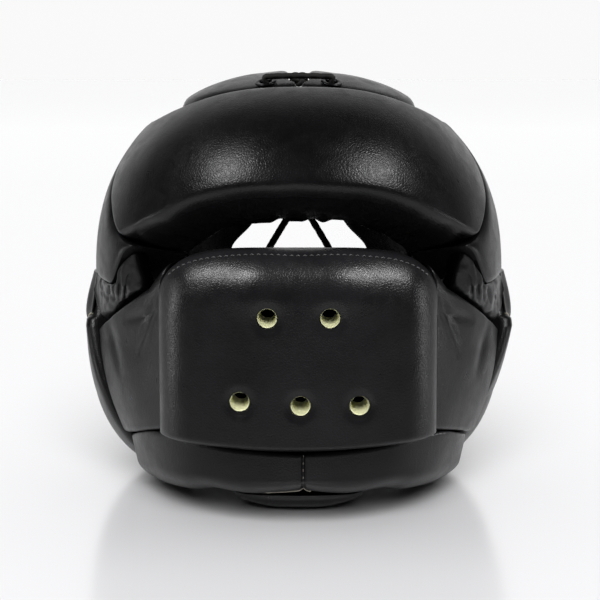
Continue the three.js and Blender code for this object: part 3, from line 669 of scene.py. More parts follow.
# start and end across the pad, width as a share of it, depth in mm
wingFolds = [
    ((0.05, 0.92), (0.3, 0.6), 0.05, 1.3), ((0.08, 0.8), (0.45, 0.86), 0.035, 0.9),
    ((0.75, 0.95), (0.62, 0.5), 0.06, 0.9)]
cornerFolds = [
    ((0.1, 0.95), (0.3, 0.1), 0.03, 1.6), ((0.2, 0.98), (0.38, 0.25), 0.022, 1.4),
    ((0.3, 0.96), (0.52, 0.3), 0.03, 1.5), ((0.06, 0.6), (0.2, 0.05), 0.025, 1.2),
    ((0.5, 0.9), (0.72, 0.35), 0.03, 0.9)]

for word, side in sideSigns.items():
    sheets = padSheets(
        side, wingPad, wingSpot, lambda angle, height: wingOuterReach(angle, height) - wingPad["wall"],
        wingOuterReach, crowded(96, (0, 0.03, 4), (1, 0.04, 4)), crowded(84, (0, 0.06, 4), (1, 0.03, 5)))
    raised(sheets, hide(sheets["outer"], 0.6, 71 + side) + foldLines(sheets, wingFolds))
    padPiece(f"wing_cover_{word}", sheets, f"cheek_wing_{word}", wingPad["fill"])

cornerPad = {
    "recess": 0.8, "span": 62, "rise": 22, "seam": 4, "rolls": (8, 4, 4, 4),
    "keep": (0.3, 0.4, 0.86, 0.93), "fill": 0.55,
}
cornerRows = [  # angle, height of the low edge and thickness
    (46.5, 116.4, 15), (51, 112.4, 19), (57, 107, 25), (63, 101.5, 31), (70, 95.5, 36), (77, 91.5, 37),
    (80, 97, 37), (85, 113.5, 37)]


def cornerLow(angle):
    return readTable(cornerRows, 1, angle) - domeBaseZ


def cornerSpot(u, v):
    angle = lerp(cornerRows[0][0], cornerRows[-1][0], u)
    return angle, lerp(cornerLow(angle), templeLowRise(angle) - pieceGap, v)


def cornerOuter(angle, height):
    # from the wing's face at its low edge to the temple's at its top edge
    low = cornerLow(angle)
    up = clamp((height - low) / (templeLowRise(angle) - low))
    return lerp(wingOuterReach(angle, low), domeOuterReach(angle, 0 * angle), up) - cornerPad["recess"]


def cornerInner(angle, height):
    thick = readTable(cornerRows, 2, angle)
    return np.maximum(cornerOuter(angle, height) - thick, liningReach(angle, height))


for word, side in sideSigns.items():
    sheets = padSheets(
        side, cornerPad, cornerSpot, cornerInner, cornerOuter,
        crowded(110, (0, 0.08, 3), (1, 0.05, 3)), crowded(80, (0, 0.08, 3), (1, 0.08, 3)))
    upright = lumps(sheets["outer"] * np.array([1, 1, 0.45]), 7, 61 + side)
    small = lumps(sheets["outer"], 4.5, 64 + side)
    raised(sheets, 0.7 * upright + 0.45 * small + foldLines(sheets, cornerFolds))
    padPiece(f"corner_cover_{word}", sheets, f"eye_corner_{word}", cornerPad["fill"])
print("eye corners made")

chinPad = {
    "halfWidth": 104, "length": 143, "innerHalfWidth": 70, "innerLength": 100, "seamX": 2.4,
    "endLow": 58.9, "endTop": 63.8, "tuck": 0.06, "tuckTopZ": 41, "tuckRise": 37, "tuckAngle": 25,
    "span": 240, "rise": 34, "seam": 10, "rolls": (6, 6, 15, 3), "keep": (0.75, 0.75, 0, 0.95),
    "lip": 6, "lipAngle": 13, "fill": 0.9,
}
chinRows = [  # share of the way round to the end, and the heights of the low and top edges
    (0, 11.9, 39.6), (0.25, 11.9, 40.4), (0.37, 11.8, 41.1), (0.47, 8.5, 41.6), (0.62, 6, 40.4),
    (0.8, 4, 34.6), (1, 4, 28.2)]
chinSeam = {"fromRow": 32, "toRow": 58, "sunk": 0.05, "pitch": 3.7, "length": 1.7, "radius": 0.26}
chinTack = {
    "up": 0.97, "fromX": 71.5, "toX": 79, "proud": 0.2, "pitch": 3.6, "length": 3.2, "radius": 0.45,
}
chinEdge = {"row": 3, "fromX": -22, "toX": 7, "proud": 0.2, "thin": 0.28, "swell": 0.3, "swellMm": 3}


def chinOuter(angle, height):
    # the sides draw in towards the floor
    under = clamp((chinPad["tuckTopZ"] - domeBaseZ - height) / chinPad["tuckRise"])
    under = under * ease((np.abs(angle) - chinPad["tuckAngle"]) / chinPad["tuckAngle"])
    return ellipseReach(chinPad["halfWidth"], chinPad["length"], angle) * (1 - chinPad["tuck"] * under)


def chinSpot(u, v):
    share = lerp(-1, 1, u)
    low = readTable(chinRows, 1, np.abs(share))
    top = readTable(chinRows, 2, np.abs(share))
    return share * lerp(chinPad["endLow"], chinPad["endTop"], v), lerp(low, top, v) - domeBaseZ


sheets = padSheets(
    1, chinPad, chinSpot,
    lambda angle, height: ellipseReach(chinPad["innerHalfWidth"], chinPad["innerLength"], angle), chinOuter,
    crowded(250, (0, 0.02, 4), (0.508, 0.012, 8), (1, 0.02, 4)), crowded(64, (0, 0.1, 3), (1, 0.1, 3)))
fromSeam = sheets["outer"][..., 0] - chinPad["seamX"]
seamGroove = -1.3 * bell(fromSeam, 1.1) - 0.7 * bell(fromSeam, 6)
raised(sheets, hide(sheets["outer"], 0.5, 81) + seamGroove)
padPiece("chin_cover", sheets, "chin_pad", chinPad["fill"])
# the seam's cut edge shows in short pale bits
rows = slice(chinSeam["fromRow"], chinSeam["toRow"])
column = np.argmin(np.abs(sheets["outer"][chinSeam["fromRow"], :, 0] - chinPad["seamX"]))
normal = sheets["normal"][rows, column]
route = sheets["outer"][rows, column] - chinSeam["sunk"] * normal
addStitches("chin_seam_edge", route, normal, rawEdge, chinSeam)
# a tack at the right corner of the bar
row = np.argmin(np.abs(sheets["v"][:, 0] - chinTack["up"]))
edge = sheets["outer"][row]
tacked = (edge[:, 0] > chinTack["fromX"]) & (edge[:, 0] < chinTack["toX"])
normal = sheets["normal"][row][tacked]
addStitches("chin_tack", edge[tacked] + chinTack["proud"] * normal, normal, threadNylon, chinTack)
# its low edge is cut, and rubbed pale
edge = sheets["outer"][chinEdge["row"]]
rubbed = (edge[:, 0] > chinEdge["fromX"]) & (edge[:, 0] < chinEdge["toX"])
route, at = alongRoute(edge[rubbed] + chinEdge["proud"] * np.array([0, -1, -1]), 1.0)
wear = chinEdge["thin"] + chinEdge["swell"] * np.maximum(lumpsAlong(at, chinEdge["swellMm"], 85), 0)
addPiece("chin_low_edge", *joined([tubeMesh(route, wear[:, None], 8)]), rawEdge, "black_leather")

chinCup = {
    "halfAngle": 20, "back": 66, "toe": 100, "lip": 119, "height": 11.2, "rise": 5, "sideRise": 8,
    "closeAngle": 8, "flat": 0.3, "heelRun": 50, "heelRoll": 10, "fill": 0.8,
}
u, v = np.meshgrid(crowded(110, (0, 0.05, 4), (1, 0.05, 4)), crowded(48, (0, 0.08, 3), (1, 0.05, 4)))
turn = np.radians(lerp(-chinCup["halfAngle"], chinCup["halfAngle"], u))
aside = np.abs(2 * u - 1)
close = edgeRoll((1 - aside) * chinCup["halfAngle"], chinCup["closeAngle"])
bowl = chinCup["sideRise"] * np.maximum((aside - chinCup["flat"]) / (1 - chinCup["flat"]), 0) ** 1.6
heel = np.maximum(chinCup["rise"] * (1 - edgeRoll(v * chinCup["heelRun"], chinCup["heelRoll"])), bowl)


def cupWall(front, z):
    reach = lerp(chinCup["back"], front, v)
    return np.stack([reach * np.sin(turn), headAxisY - reach * np.cos(turn), z], axis=-1)


top = cupWall(lerp(chinCup["toe"], chinCup["lip"], close), np.full_like(v, chinCup["height"]))
sole = cupWall(np.full_like(v, chinCup["toe"]), heel)
cup = closePad(top, sole, 8, 2.6)
addPiece("cup_cover", *cup, blackLeather, "black_leather", ("chin_cup",), chinCup["fill"])
print("wings and chin made")

faceBar = {
    "halfWidth": 73, "bottomZ": 40, "bottomLift": 4.5, "topZ": 142.5, "cornerDrop": 27, "cornerPower": 4.5,
    "backY": -114, "backCurve": 8, "depth": 34, "edge": 9, "sideEdge": 5, "roll": 17, "footRoll": 4,
    "footEdge": 20, "crestRoll": 26, "round": 12, "fill": 0.95,
    "swell": 2.4, "swellX": 20.5, "swellZ": 126, "swellWide": 16, "swellTall": 13,
}
barThread = {"up": 0.977, "end": 0.045, "proud": 0.15, "pitch": 3.4, "length": 2.2, "radius": 0.35}
vent = {
    "bore": 5.4, "linerOuter": 5.1, "linerInner": 4.2, "inset": 3, "drill": 120, "dent": 0.9, "dentWide": 2.2,
    "corner": 0.3, "sides": 56, "pits": 0.12, "pitMm": 3, "pitReach": 9,
}
ventSpots = np.array([(-15.9, 109.8), (15.9, 109.8), (-30, 66.5), (1, 65), (31, 64.5)])


def barWall(u, v, out):
    # a curved block: its top corners fall away by a rounded square, and each edge rolls by a quarter round
    x = lerp(-faceBar["halfWidth"], faceBar["halfWidth"], u)
    share = np.abs(x) / faceBar["halfWidth"]
    corner = 1 - np.sqrt(np.maximum(1 - share ** faceBar["cornerPower"], 0))
    low = faceBar["bottomZ"] + faceBar["bottomLift"] * share**2
    top = faceBar["topZ"] - faceBar["cornerDrop"] * corner
    z = lerp(low, top, v)
    back = faceBar["backY"] + faceBar["backCurve"] * share**2
    full = faceBar["depth"] - faceBar["round"] * share**2
    full = lerp(np.minimum(faceBar["footEdge"], full), full, edgeRoll(z - low, faceBar["footRoll"]))
    full = lerp(faceBar["edge"], full, edgeRoll(top - z, faceBar["crestRoll"]))
    full = lerp(faceBar["sideEdge"], full, edgeRoll(faceBar["halfWidth"] - np.abs(x), faceBar["roll"]))
    y = back - out * full
    return np.stack([x, headAxisY + y, z], axis=-1)


u, v = np.meshgrid(crowded(190, (0, 0.03, 5), (1, 0.03, 5)), crowded(130, (0, 0.04, 4), (1, 0.04, 4)))
front, back = barWall(u, v, 1), barWall(u, v, 0)
normal = gridNormals(front, front - back)
fromVent = np.min(np.hypot(
    front[..., 0, None] - ventSpots[:, 0], front[..., 2, None] - ventSpots[:, 1]), axis=-1)
# the foam swells a little on either side under the top edge, and is drawn in round the vents
swell = faceBar["swell"] * bell(np.abs(front[..., 0]) - faceBar["swellX"], faceBar["swellWide"])
swell = swell * bell(front[..., 2] - faceBar["swellZ"], faceBar["swellTall"])
dents = vent["dent"] * bell(np.maximum(fromVent - vent["bore"], 0), vent["dentWide"])
front = front + (hide(front, 0.5, 91) + swell - dents)[..., None] * normal
block = closePad(front, back)
bar = addPiece("bar_cover", *block, blackLeather, "black_leather", ("face_bar",), faceBar["fill"])
straight = np.array([0.0, 1.0, 0.0])
drills = [(np.array([x, headAxisY + faceBar["backY"], z]), straight) for x, z in ventSpots]
cutHoles(bar, drills, vent["bore"], vent["drill"])

sleeves = []
for i, (x, z) in enumerate(ventSpots):
    share = (x / faceBar["halfWidth"]) ** 2
    back = headAxisY + faceBar["backY"] + faceBar["backCurve"] * share
    depth = faceBar["depth"] - faceBar["round"] * share - vent["inset"]
    # a sleeve: its section turned once round the vent, with soft corners
    small, large, soft = vent["linerInner"], vent["linerOuter"], vent["corner"]
    section = np.array([
        (small, soft), (small + soft, 0), (large - soft, 0), (large, soft),
        *[(large, depth * t) for t in (0.25, 0.5, 0.75)],
        (large, depth - soft), (large - 0.15, depth), (small + 0.65, depth - soft), (small + soft, depth - 2),
        *[(small, depth * t) for t in (0.8, 0.7, 0.6, 0.45, 0.3, 0.15)],
    ])
    turn = turns(vent["sides"])[:, None]
    around = vent["pitReach"] * np.cos(turn), vent["pitReach"] * np.sin(turn), section[None, :, 1]
    pits = lumps(np.stack(np.broadcast_arrays(*around), axis=-1), vent["pitMm"], i)
    radius = section[None, :, 0] + vent["pits"] * pits
    grid = np.stack([
        x + radius * np.cos(turn), back - np.broadcast_to(section[None, :, 1], radius.shape),
        z + radius * np.sin(turn)], axis=-1)
    sleeves.append(addPiece(
        f"vent_sleeve_{i + 1}", *turnedMesh(grid), foamSkin, "cream_foam", (f"vent_liner_{i + 1}",)))

# one row of stitches under the bar's top edge
row = np.argmin(np.abs(v[:, 0] - barThread["up"]))
inside = (u[row] > barThread["end"]) & (u[row] < 1 - barThread["end"])
route = front[row][inside] + barThread["proud"] * normal[row][inside]
addStitches("bar_stitches", route, normal[row][inside], threadNylon, barThread)
print("face bar made")

# Crown flaps, rear wings, eyelets

crown = {
    "halfGap": 6, "notch": 9, "wall": 5, "front": 1.2, "rear": 166, "reach": 111.5, "crest": 114.5,
    "climb": 9, "rimOut": 3, "crestFrom": 60, "crestRun": 20,
    "span": 150, "rise": 50, "seam": 3, "rolls": (3, 3, 3, 3), "fill": 0.3,
}
rear = {
    "padWall": 24, "padEnd": 144, "padRoll": 13, "baseShare": 0.6, "span": 60, "rise": 205, "seam": 4,
    "rolls": (10, 3, 9, 9), "fill": 0.7,
}
gapRows = [  # height, and half the width of the gap at the back
    (0, 0.03), (45, 0.03), (70, 1.2), (84, 14), (96, 32), (106, 43), (122, 45), (136, 31), (155, 20),
    (180, 14), (200, 6), (215, 4)]
eyelet = {
    "bore": 3.3, "barrel": 4.2, "flange": 6.2, "lip": 0.8, "play": 0.45, "hole": 4.6, "drill": 30,
    "sides": 40,
}
backEyelets = [("top", 24, 193), ("middle", 45, 89), ("low", 32, 35)]  # out from the middle, and height
crownEyelets = [("front", 17.5, -42), ("rear", 20, 46)]  # out from the middle, and back from the axis


def crownGapRise(angle, reach):
    # the open strip ends in a notch at the front, where the flaps meet
    half = crown["halfGap"] * clamp(angle / crown["notch"]) ** 0.9
    return np.degrees(np.arccos(np.minimum(half / (reach * np.sin(np.radians(angle))), 1)))


def crownLowRise(angle):
    return np.where(angle < browSeamAngle(1), readTable(browRows, 2, angle), rearTop)


def crownInner(angle, height):
    # the rim sits beside the pads' top edges, the flap rises steeply to its crest and eases to the strip
    low = crownLowRise(angle)
    climb = clamp((height - low) / crown["climb"])
    past = clamp((height - crown["crestFrom"]) / crown["crestRun"])
    crest = lerp(crown["crest"], crown["reach"], past**1.5)
    return lerp(liningReach(angle, low) + crown["rimOut"], crest, np.sin(np.pi / 2 * climb))


def crownSpot(u, v):
    angle = lerp(crown["front"], crown["rear"], u)
    low = crownLowRise(angle) + pieceGap
    return angle, lerp(low, np.maximum(crownGapRise(angle, crown["reach"]), low + 2), v)


def rearGapAngle(height):
    reach = liningReach(np.full_like(height, 180.0), height)
    rise = np.radians(np.maximum(height, 0))
    z = domeBaseZ + np.minimum(height, 0) + reach * np.sin(rise)
    return 180 - np.degrees(np.arcsin(readTable(gapRows, 1, z) / (reach * np.cos(rise))))


def rearOuter(angle, height):
    # padded beside the ear, then two bare layers of leather out to the laced edge
    near = liningReach(angle, height)
    level = near * np.cos(np.radians(np.maximum(height, 0)))
    toPadEnd = np.radians(rear["padEnd"] - angle) * level
    return near + rear["seam"] + (rear["padWall"] - rear["seam"]) * edgeRoll(toPadEnd, rear["padRoll"])


def rearSpot(u, v):
    base = rear["baseShare"]
    height = np.where(v < base, lerp(-domeBaseZ, 0, v / base), lerp(0, rearTop, (v - base) / (1 - base)))
    pad = lerp(sideEnd + pieceGap, rear["padEnd"], 2 * u)
    return np.where(u < 0.5, pad, lerp(rear["padEnd"], rearGapAngle(height), 2 * u - 1)), height


def flapSpot(side, angle, height, inner, wall):
    # the point in the middle of a flap's wall, and the way out of it
    def at(a, h):
        return onHead(side, a, h, inner(np.float64(a), np.float64(h)))

    point = at(angle, height)
    turned = at(angle + 1, height) - at(angle - 1, height)
    normal = unit(np.cross(turned, at(angle, height + 1) - at(angle, height - 1)))
    outward = point - np.array([0, headAxisY, domeBaseZ if height > 0 else point[2]])
    normal = normal * np.sign(np.dot(normal, outward))
    return point + normal * wall / 2, normal


settleRounds = 20


def backEyeletSpot(side, x, z):
    # the rise on the dome that comes out at this height, found by repeating
    height = z - domeBaseZ
    for _ in range(settleRounds if height > 0 else 0):
        height = np.degrees(np.arcsin((z - domeBaseZ) / liningReach(np.float64(170), np.float64(height))))
    reach = liningReach(np.float64(165), np.float64(height)) * np.cos(np.radians(max(height, 0)))
    return flapSpot(side, 180 - np.degrees(np.arcsin(x / reach)), height, liningReach, rear["seam"])


def crownEyeletSpot(side, x, y):
    # the rise on the flap that comes out this far from the axis, found by repeating
    angle = np.degrees(np.arctan2(x, -y))
    height = np.float64(70)
    for _ in range(settleRounds):
        height = np.degrees(np.arccos(np.hypot(x, y) / crownInner(angle, height)))
    return flapSpot(side, angle, height, crownInner, crown["wall"])


def eyeletRing(name, node, wall, point, way):
    # a pressed ring: its section turned once round the hole, flange outside with a rolled lip
    half = wall / 2 + eyelet["play"]
    roll = np.radians(np.linspace(-90, 90, 7))
    bore, lip = eyelet["bore"], eyelet["lip"] / 2
    section = np.array([
        (bore, -half), (eyelet["barrel"], -half), (eyelet["barrel"], half),
        *[(eyelet["flange"] - lip + lip * np.cos(t), half + lip + lip * np.sin(t)) for t in roll],
        (bore + 0.9, half + lip * 2.1), (bore + 0.25, half + lip * 1.6), (bore, half + 0.1),
    ])
    turn = turns(eyelet["sides"])
    across = unit(np.cross(way, [0.3, 0.2, 0.93]))
    other = np.cross(way, across)
    ring = np.cos(turn)[:, None, None] * across + np.sin(turn)[:, None, None] * other
    grid = point + section[None, :, :1] * ring + section[None, :, 1:] * way
    addPiece(name, *turnedMesh(grid), eyeletMetal, "eyelet_metal", (node,), sharp=50)


backSpots, crownSpots = {}, {}
for word, side in sideSigns.items():
    backSpots[word] = [backEyeletSpot(side, x, z) for _, x, z in backEyelets]
    crownSpots[word] = [crownEyeletSpot(side, x, y) for _, x, y in crownEyelets]
    sheets = padSheets(
        side, rear, rearSpot, liningReach, rearOuter,
        crowded(90, (0, 0.06, 3), (0.42, 0.08, 2), (1, 0.03, 4)),
        crowded(170, (0, 0.03, 3), (1, 0.03, 3)), 1.0)
    upright = np.stack([sheets["angle"] / 7, 0.02 * sheets["outer"][..., 2], 0 * sheets["angle"]], axis=-1)
    folds = 1.1 * lumps(upright, 1, 101 + side)
    raised(sheets, hide(sheets["outer"], 0.5, 104 + side) + 0.5 * folds)
    raised(sheets, -0.5 * folds * ease(sheets["right"] / 6) - 0.4 * lumps(sheets["inner"], 12, 107), "inner")
    piece = padPiece(f"rear_cover_{word}", sheets, f"rear_wing_{word}", rear["fill"])
    cutHoles(piece, backSpots[word], eyelet["hole"], eyelet["drill"])
    sheets = padSheets(
        side, crown, crownSpot, crownInner,
        lambda angle, height: crownInner(angle, height) + crown["wall"],
        crowded(140, (0, 0.02, 4), (1, 0.02, 4)), crowded(48, (0, 0.05, 4), (1, 0.05, 4)), 0.8)
    raised(sheets, 0.35 * lumps(sheets["outer"], 24, 111 + side))
    piece = padPiece(f"crown_cover_{word}", sheets, f"crown_flap_{word}", crown["fill"])
    cutHoles(piece, crownSpots[word], eyelet["hole"], eyelet["drill"])
    for (label, _, _), (point, way) in zip(backEyelets, backSpots[word]):
        eyeletRing(f"back_ring_{label}_{word}", f"back_eyelet_{label}_{word}", rear["seam"], point, way)
    for (label, _, _), (point, way) in zip(crownEyelets, crownSpots[word]):
        eyeletRing(f"crown_ring_{label}_{word}", f"crown_eyelet_{label}_{word}", crown["wall"], point, way)
    # the strap: a band over the ear pad's step, its cut lower edge left raw
    u, v = np.meshgrid(np.linspace(0, 1, 70), crowded(16, (0, 0.1, 3), (1, 0.1, 3)))
    angle = lerp(strap["front"], strap["rear"], u)
    height = lerp(strapLow(angle), strap["topZ"], v) - domeBaseZ
    full = ease(u / strap["thinRun"])
    base = earOuterReach(angle, height) + strap["lift"] * lerp(strap["endLift"], 1, full)
    base = base + strap["belly"] * full * np.sin(np.pi * v**0.7)
    slack = 0.5 * lumps(np.stack([angle / 6, v, 0 * v], axis=-1), 1, 121 + side)
    wall = strap["wall"] * lerp(strap["endWall"], 1, full)
    outer = onHead(side, angle, height, base + wall + slack * full)
    inner = onHead(side, angle, height, base + slack * full)
    band = closePad(outer, inner, 1)
    addPiece(f"strap_{word}", *band, strapLeather, "strap_leather", (f"side_strap_{word}",))
    rim = (outer[0] + inner[0]) / 2 + np.array([0, 0, -0.35])
    edge = tubeMesh(rim, strap["edgeRadius"], 10)
    addPiece(f"strap_edge_{word}", *joined([edge]), rawEdge, "strap_leather")
print("crown, rear, eyelets and straps made")

# Laces

lace = {
    "radius": 2.2, "crownRadius": 1.7, "lift": 5, "crownLift": 3.5, "straight": 3.4, "sides": 16, "ring": 0.7,
    "braidMm": 7.0, "steps": 12,
}
knot = {"halfWidth": 6.5, "tail": 26, "radius": 1.9, "size": 0.85}


def smoothRoute(points, steps):
    # a centripetal Catmull-Rom curve through the points, with as many steps on each stretch
    p = np.concatenate([[2 * points[0] - points[1]], points, [2 * points[-1] - points[-2]]])
    gap = np.sqrt(np.linalg.norm(np.diff(p, axis=0), axis=1))[:, None]
    p0, p1, p2, p3 = p[:-3], p[1:-2], p[2:-1], p[3:]
    a, b, c = gap[:-2], gap[1:-1], gap[2:]
    start = ((p1 - p0) / a - (p2 - p0) / (a + b) + (p2 - p1) / b) * b
    end = ((p2 - p1) / b - (p3 - p1) / (b + c) + (p3 - p2) / c) * b
    t = np.linspace(0, 1, steps, endpoint=False)[None, :, None]
    p1, p2, start, end = (x[:, None] for x in (p1, p2, start, end))
    curve = p1 * (2 * t**3 - 3 * t**2 + 1) + start * (t**3 - 2 * t**2 + t)
    curve = curve + p2 * (3 * t**2 - 2 * t**3) + end * (t**3 - t**2)
    return np.concatenate([curve.reshape(-1, 3), points[-1:]])


def through(spot, outwards, wall, lift):
    # straight through an eyelet, outwards or inwards
    point, way = spot
    sign = 1 if outwards else -1
    high = wall / 2 + lift
    return [point + sign * step * way for step in (-high, -lace["straight"], lace["straight"], high)]


def stretch(start, end, way, edge, middle):
    # points between two eyelets, pushed off the straight line at the flaps' edges and in the middle
    pushes = [(0.17, edge), (0.5, middle), (0.83, edge)] if edge else [(0.5, middle)]
    return [lerp(start, end, t) + push * np.array(way) for t, push in pushes]


def laceRoute(left, right, tie, pushes, way, wall, lift):
    # in at the first eyelet, across to the next row, down that side, along the last row and up to the knot
    down = [left[0], *right[1:]]
    up = [right[0], *left[1:]][::-1]
    aside = np.array([knot["halfWidth"] + pieceGap, 0, 0])
    points = [tie - aside]
    for step, spot in enumerate(down + up):
        hole = through(spot, step % 2 == 1, wall, lift)
        if step:
            points += stretch(points[-1], hole[0], way, *pushes[step - 1])
        points += hole
    return np.array(points + [tie + aside])


def braided(route, radius):
    # a cord whose radius follows two sets of strands that wind opposite ways
    route, at = alongRoute(route, lace["ring"])
    turn = turns(lace["sides"])
    wind = 2 * np.pi * at[:, None] / lace["braidMm"]
    strands = np.maximum(np.sin(4 * turn + wind), np.sin(4 * turn - wind))
    return tubeMesh(route, radius * (0.97 + 0.07 * (strands - 0.4)), lace["sides"])


def tiedKnot(tie, along):
    # a closed overhand loop drawn tight, and two loose ends
    t = np.linspace(0, 2 * np.pi, 90)
    loop = np.stack([
        1.75 * (np.sin(t) + 2 * np.sin(2 * t)), np.sin(3 * t),
        1.2 * (np.cos(t) - 2 * np.cos(2 * t))], axis=-1)
    parts = [tubeMesh(tie + knot["size"] * loop, knot["radius"], 12)]
    for side in (-1, 1):
        t = np.linspace(0, 1, 12)[:, None]
        wave = np.array([side, 0.3, 0]) * 1.2 * np.sin(5 * t)
        route = tie + knot["tail"] * t * along + np.array([side, 0, 0]) * (2.5 + 5 * t) + wave
        parts.append(braided(route, 0.9 * lace["radius"]))
    return joined(parts)


def addCord(name, node, mesh):
    addPiece(name, *mesh, laceCord, "lace_cord", (node,))


backTie = np.array([0, headAxisY + 90, 197])
crownTie = np.array([0, headAxisY + 50, 229])
backRoute = laceRoute(
    backSpots["left"], backSpots["right"], backTie,
    [(None, 1), (None, 0.5), (None, -4), (None, 0.5), (None, -5.5)], (0, 1, 0), rear["seam"], lace["lift"])
crownRoute = laceRoute(
    crownSpots["left"][::-1], crownSpots["right"][::-1], crownTie,
    [(None, -6), (0.6, 0.8), (None, 0.5)], (0, 0, 1), crown["wall"], lace["crownLift"])
backCurve = smoothRoute(backRoute, lace["steps"])
crownCurve = smoothRoute(crownRoute, lace["steps"])
addCord("back_cord", "back_lace", joined([braided(backCurve, lace["radius"])]))
addCord("crown_cord", "crown_lace", joined([braided(crownCurve, lace["crownRadius"])]))
addCord("back_tie", "back_knot", tiedKnot(backTie, unit(np.array([0, 0.2, -1]))))
addCord("crown_tie", "crown_knot", tiedKnot(crownTie, unit(np.array([0, 0.9, -0.4]))))
print("laces made")

# Studio

studio = {"distance": 950, "elevation": 8, "targetX": 0.71, "targetZ": 98.9, "lens": 96.0}

x, y = np.meshgrid(np.linspace(-40, 40, 21), np.linspace(-20, 80, 21))
grid = np.stack([x, y, 0 * x], axis=-1)
mesh = bpy.data.meshes.new("studio_floor")
mesh.from_pydata(grid.reshape(-1, 3).tolist(), [], gridQuads(*grid.shape[:2]).tolist())
mesh.shade_smooth()
floor = bpy.data.objects.new("studio_floor", mesh)
bpy.context.scene.collection.objects.link(floor)
finish, tree, shader, place = startFinish("white_acrylic_sheet")  # polished, so it mirrors softly
spot = addNode(tree, "ShaderNodeSeparateXYZ", {0: place})
toFront = addNode(tree, "ShaderNodeMapRange", {
    "Value": spot.outputs["Y"], "From Min": -0.27, "From Max": -0.55}, interpolation_type="SMOOTHSTEP")
aside = addNode(tree, "ShaderNodeMath", {0: spot.outputs["X"]}, operation="ABSOLUTE")
wide = addNode(tree, "ShaderNodeMath", {
    0: spot.outputs["Y"], 1: -0.19, 2: aside.outputs[0]}, operation="MULTIPLY_ADD")
toSides = addNode(tree, "ShaderNodeMapRange", {
    "Value": wide.outputs[0], "From Min": 0.25, "From Max": 0.6, "To Max": 0.75},
    interpolation_type="SMOOTHSTEP")
carded = addNode(tree, "ShaderNodeMath", {
    0: toFront.outputs["Result"], 1: toSides.outputs["Result"]}, operation="MAXIMUM")
# white, with grey cards in front and at the sides that keep the leather dark
colour = addNode(tree, "ShaderNodeMix", {
    0: carded.outputs[0], 6: fromHex("#f6f6f8"), 7: fromHex("#6a6a6c")}, data_type="RGBA")
# polished under the headgear, matt towards the front
mirror = addNode(tree, "ShaderNodeMapRange", {
    "Value": spot.outputs["Y"], "From Min": -0.215, "From Max": -0.1, "To Max": 0.12},
    interpolation_type="SMOOTHSTEP")
tree.links.new(colour.outputs[2], shader.inputs["Base Color"])
tree.links.new(mirror.outputs["Result"], shader.inputs["Metallic"])
shader.inputs["Roughness"].default_value = 0.17
shader.inputs["IOR"].default_value = 1.45
mesh.materials.append(finish)

world = bpy.data.worlds.new("studio")
bpy.context.scene.world = world
world.use_nodes = True
tree = world.node_tree
way = addNode(tree, "ShaderNodeSeparateXYZ", {0: addNode(tree, "ShaderNodeTexCoord").outputs["Generated"]})
behind = addNode(tree, "ShaderNodeMapRange", {
    "Value": way.outputs["Y"], "From Min": 0.5, "From Max": 0.95}, interpolation_type="SMOOTHSTEP")
level = addNode(tree, "ShaderNodeMapRange", {"Value": behind.outputs[0], "To Min": 0.03, "To Max": 0.95})
tree.links.new(level.outputs["Result"], tree.nodes["Background"].inputs["Strength"])
tree.nodes["Background"].inputs["Color"].default_value = (1, 1, 1, 1)


def addLamp(lamp, things):
    # a lamp that reaches only these things
    lampObject = bpy.data.objects.new(lamp.name, lamp)
    bpy.context.scene.collection.objects.link(lampObject)
    group = bpy.data.collections.new(f"{lamp.name}_on")
    for thing in things:
        group.objects.link(thing)
    lampObject.light_linking.receiver_collection = group
    return lampObject


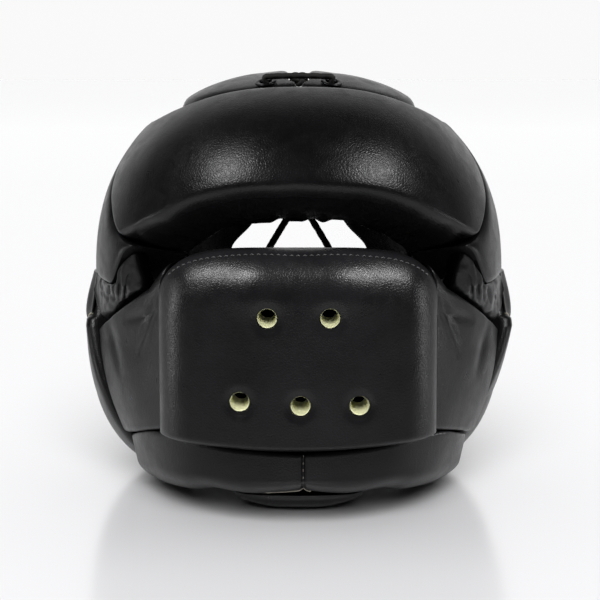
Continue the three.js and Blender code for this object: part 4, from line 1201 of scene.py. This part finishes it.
pieces = [thing for thing in bpy.context.scene.objects if thing.type == "MESH" and thing is not floor]
allButBar = [thing for thing in pieces if thing is not bar]
softboxes = [  # azimuth and elevation, distance, width and height in m, watts, what it lights
    ("key_left", -58, 42, 1.3, 0.24, 0.24, 8.8, pieces),
    ("key_right", 62, 40, 1.3, 0.24, 0.24, 8.6, pieces),
    ("side_left", -88, -6, 0.5, 0.07, 0.12, 0.19, allButBar),
    ("side_right", 88, -6, 0.5, 0.07, 0.12, 0.17, allButBar),
    ("edge_left", -88, -8, 0.5, 0.07, 0.36, 0.6, [bar]),  # the soft glints on the bar's sides and top
    ("edge_right", 88, -8, 0.5, 0.07, 0.36, 0.55, [bar]),
    ("crest_left", -48, 56, 1.2, 0.1, 0.1, 9, [bar]),
    ("crest_right", 49, 56, 1.2, 0.1, 0.1, 9, [bar]),
    ("vent_fill", 0, 26, 1.0, 0.3, 0.3, 12, sleeves),  # for the glow of light scattered inside the foam
]
skies = [  # strength, spread and tilt; the floor has its own, so the leather keeps its dark reflections
    ("floor_sky", 1.0, 100, 0),
    ("front_sky", 2.9, 46, 46),
]
lampTarget = Vector((0, 0, 0.12))
for name, azimuth, elevation, distance, width, height, watts, things in softboxes:
    a, e = np.radians(azimuth), np.radians(elevation)
    way = Vector((np.sin(a) * np.cos(e), -np.cos(a) * np.cos(e), np.sin(e)))
    lamp = bpy.data.lights.new(name, "AREA")
    lamp.shape = "RECTANGLE"
    lamp.size, lamp.size_y, lamp.energy = width, height, watts
    lampObject = addLamp(lamp, things)
    lampObject.location = lampTarget + distance * way
    lampObject.rotation_euler = (lampTarget - lampObject.location).to_track_quat("-Z", "Y").to_euler()
for name, strength, spread, tilt in skies:
    lamp = bpy.data.lights.new(name, "SUN")
    lamp.energy, lamp.angle = strength, np.radians(spread)
    addLamp(lamp, [floor]).rotation_euler = (np.radians(tilt), 0, 0)

lift = np.radians(studio["elevation"])
target = Vector((studio["targetX"], headAxisY, studio["targetZ"])) * mm
camera = bpy.data.cameras.new("camera")
camera.sensor_width = 36
camera.lens = studio["lens"]
cameraObject = bpy.data.objects.new("camera", camera)
cameraObject.location = target + studio["distance"] * mm * Vector((0, -np.cos(lift), np.sin(lift)))
cameraObject.rotation_euler = (target - cameraObject.location).to_track_quat("-Z", "Y").to_euler()
bpy.context.scene.collection.objects.link(cameraObject)
bpy.context.scene.camera = cameraObject
bpy.context.scene.view_settings.view_transform = "Standard"
print("studio made")
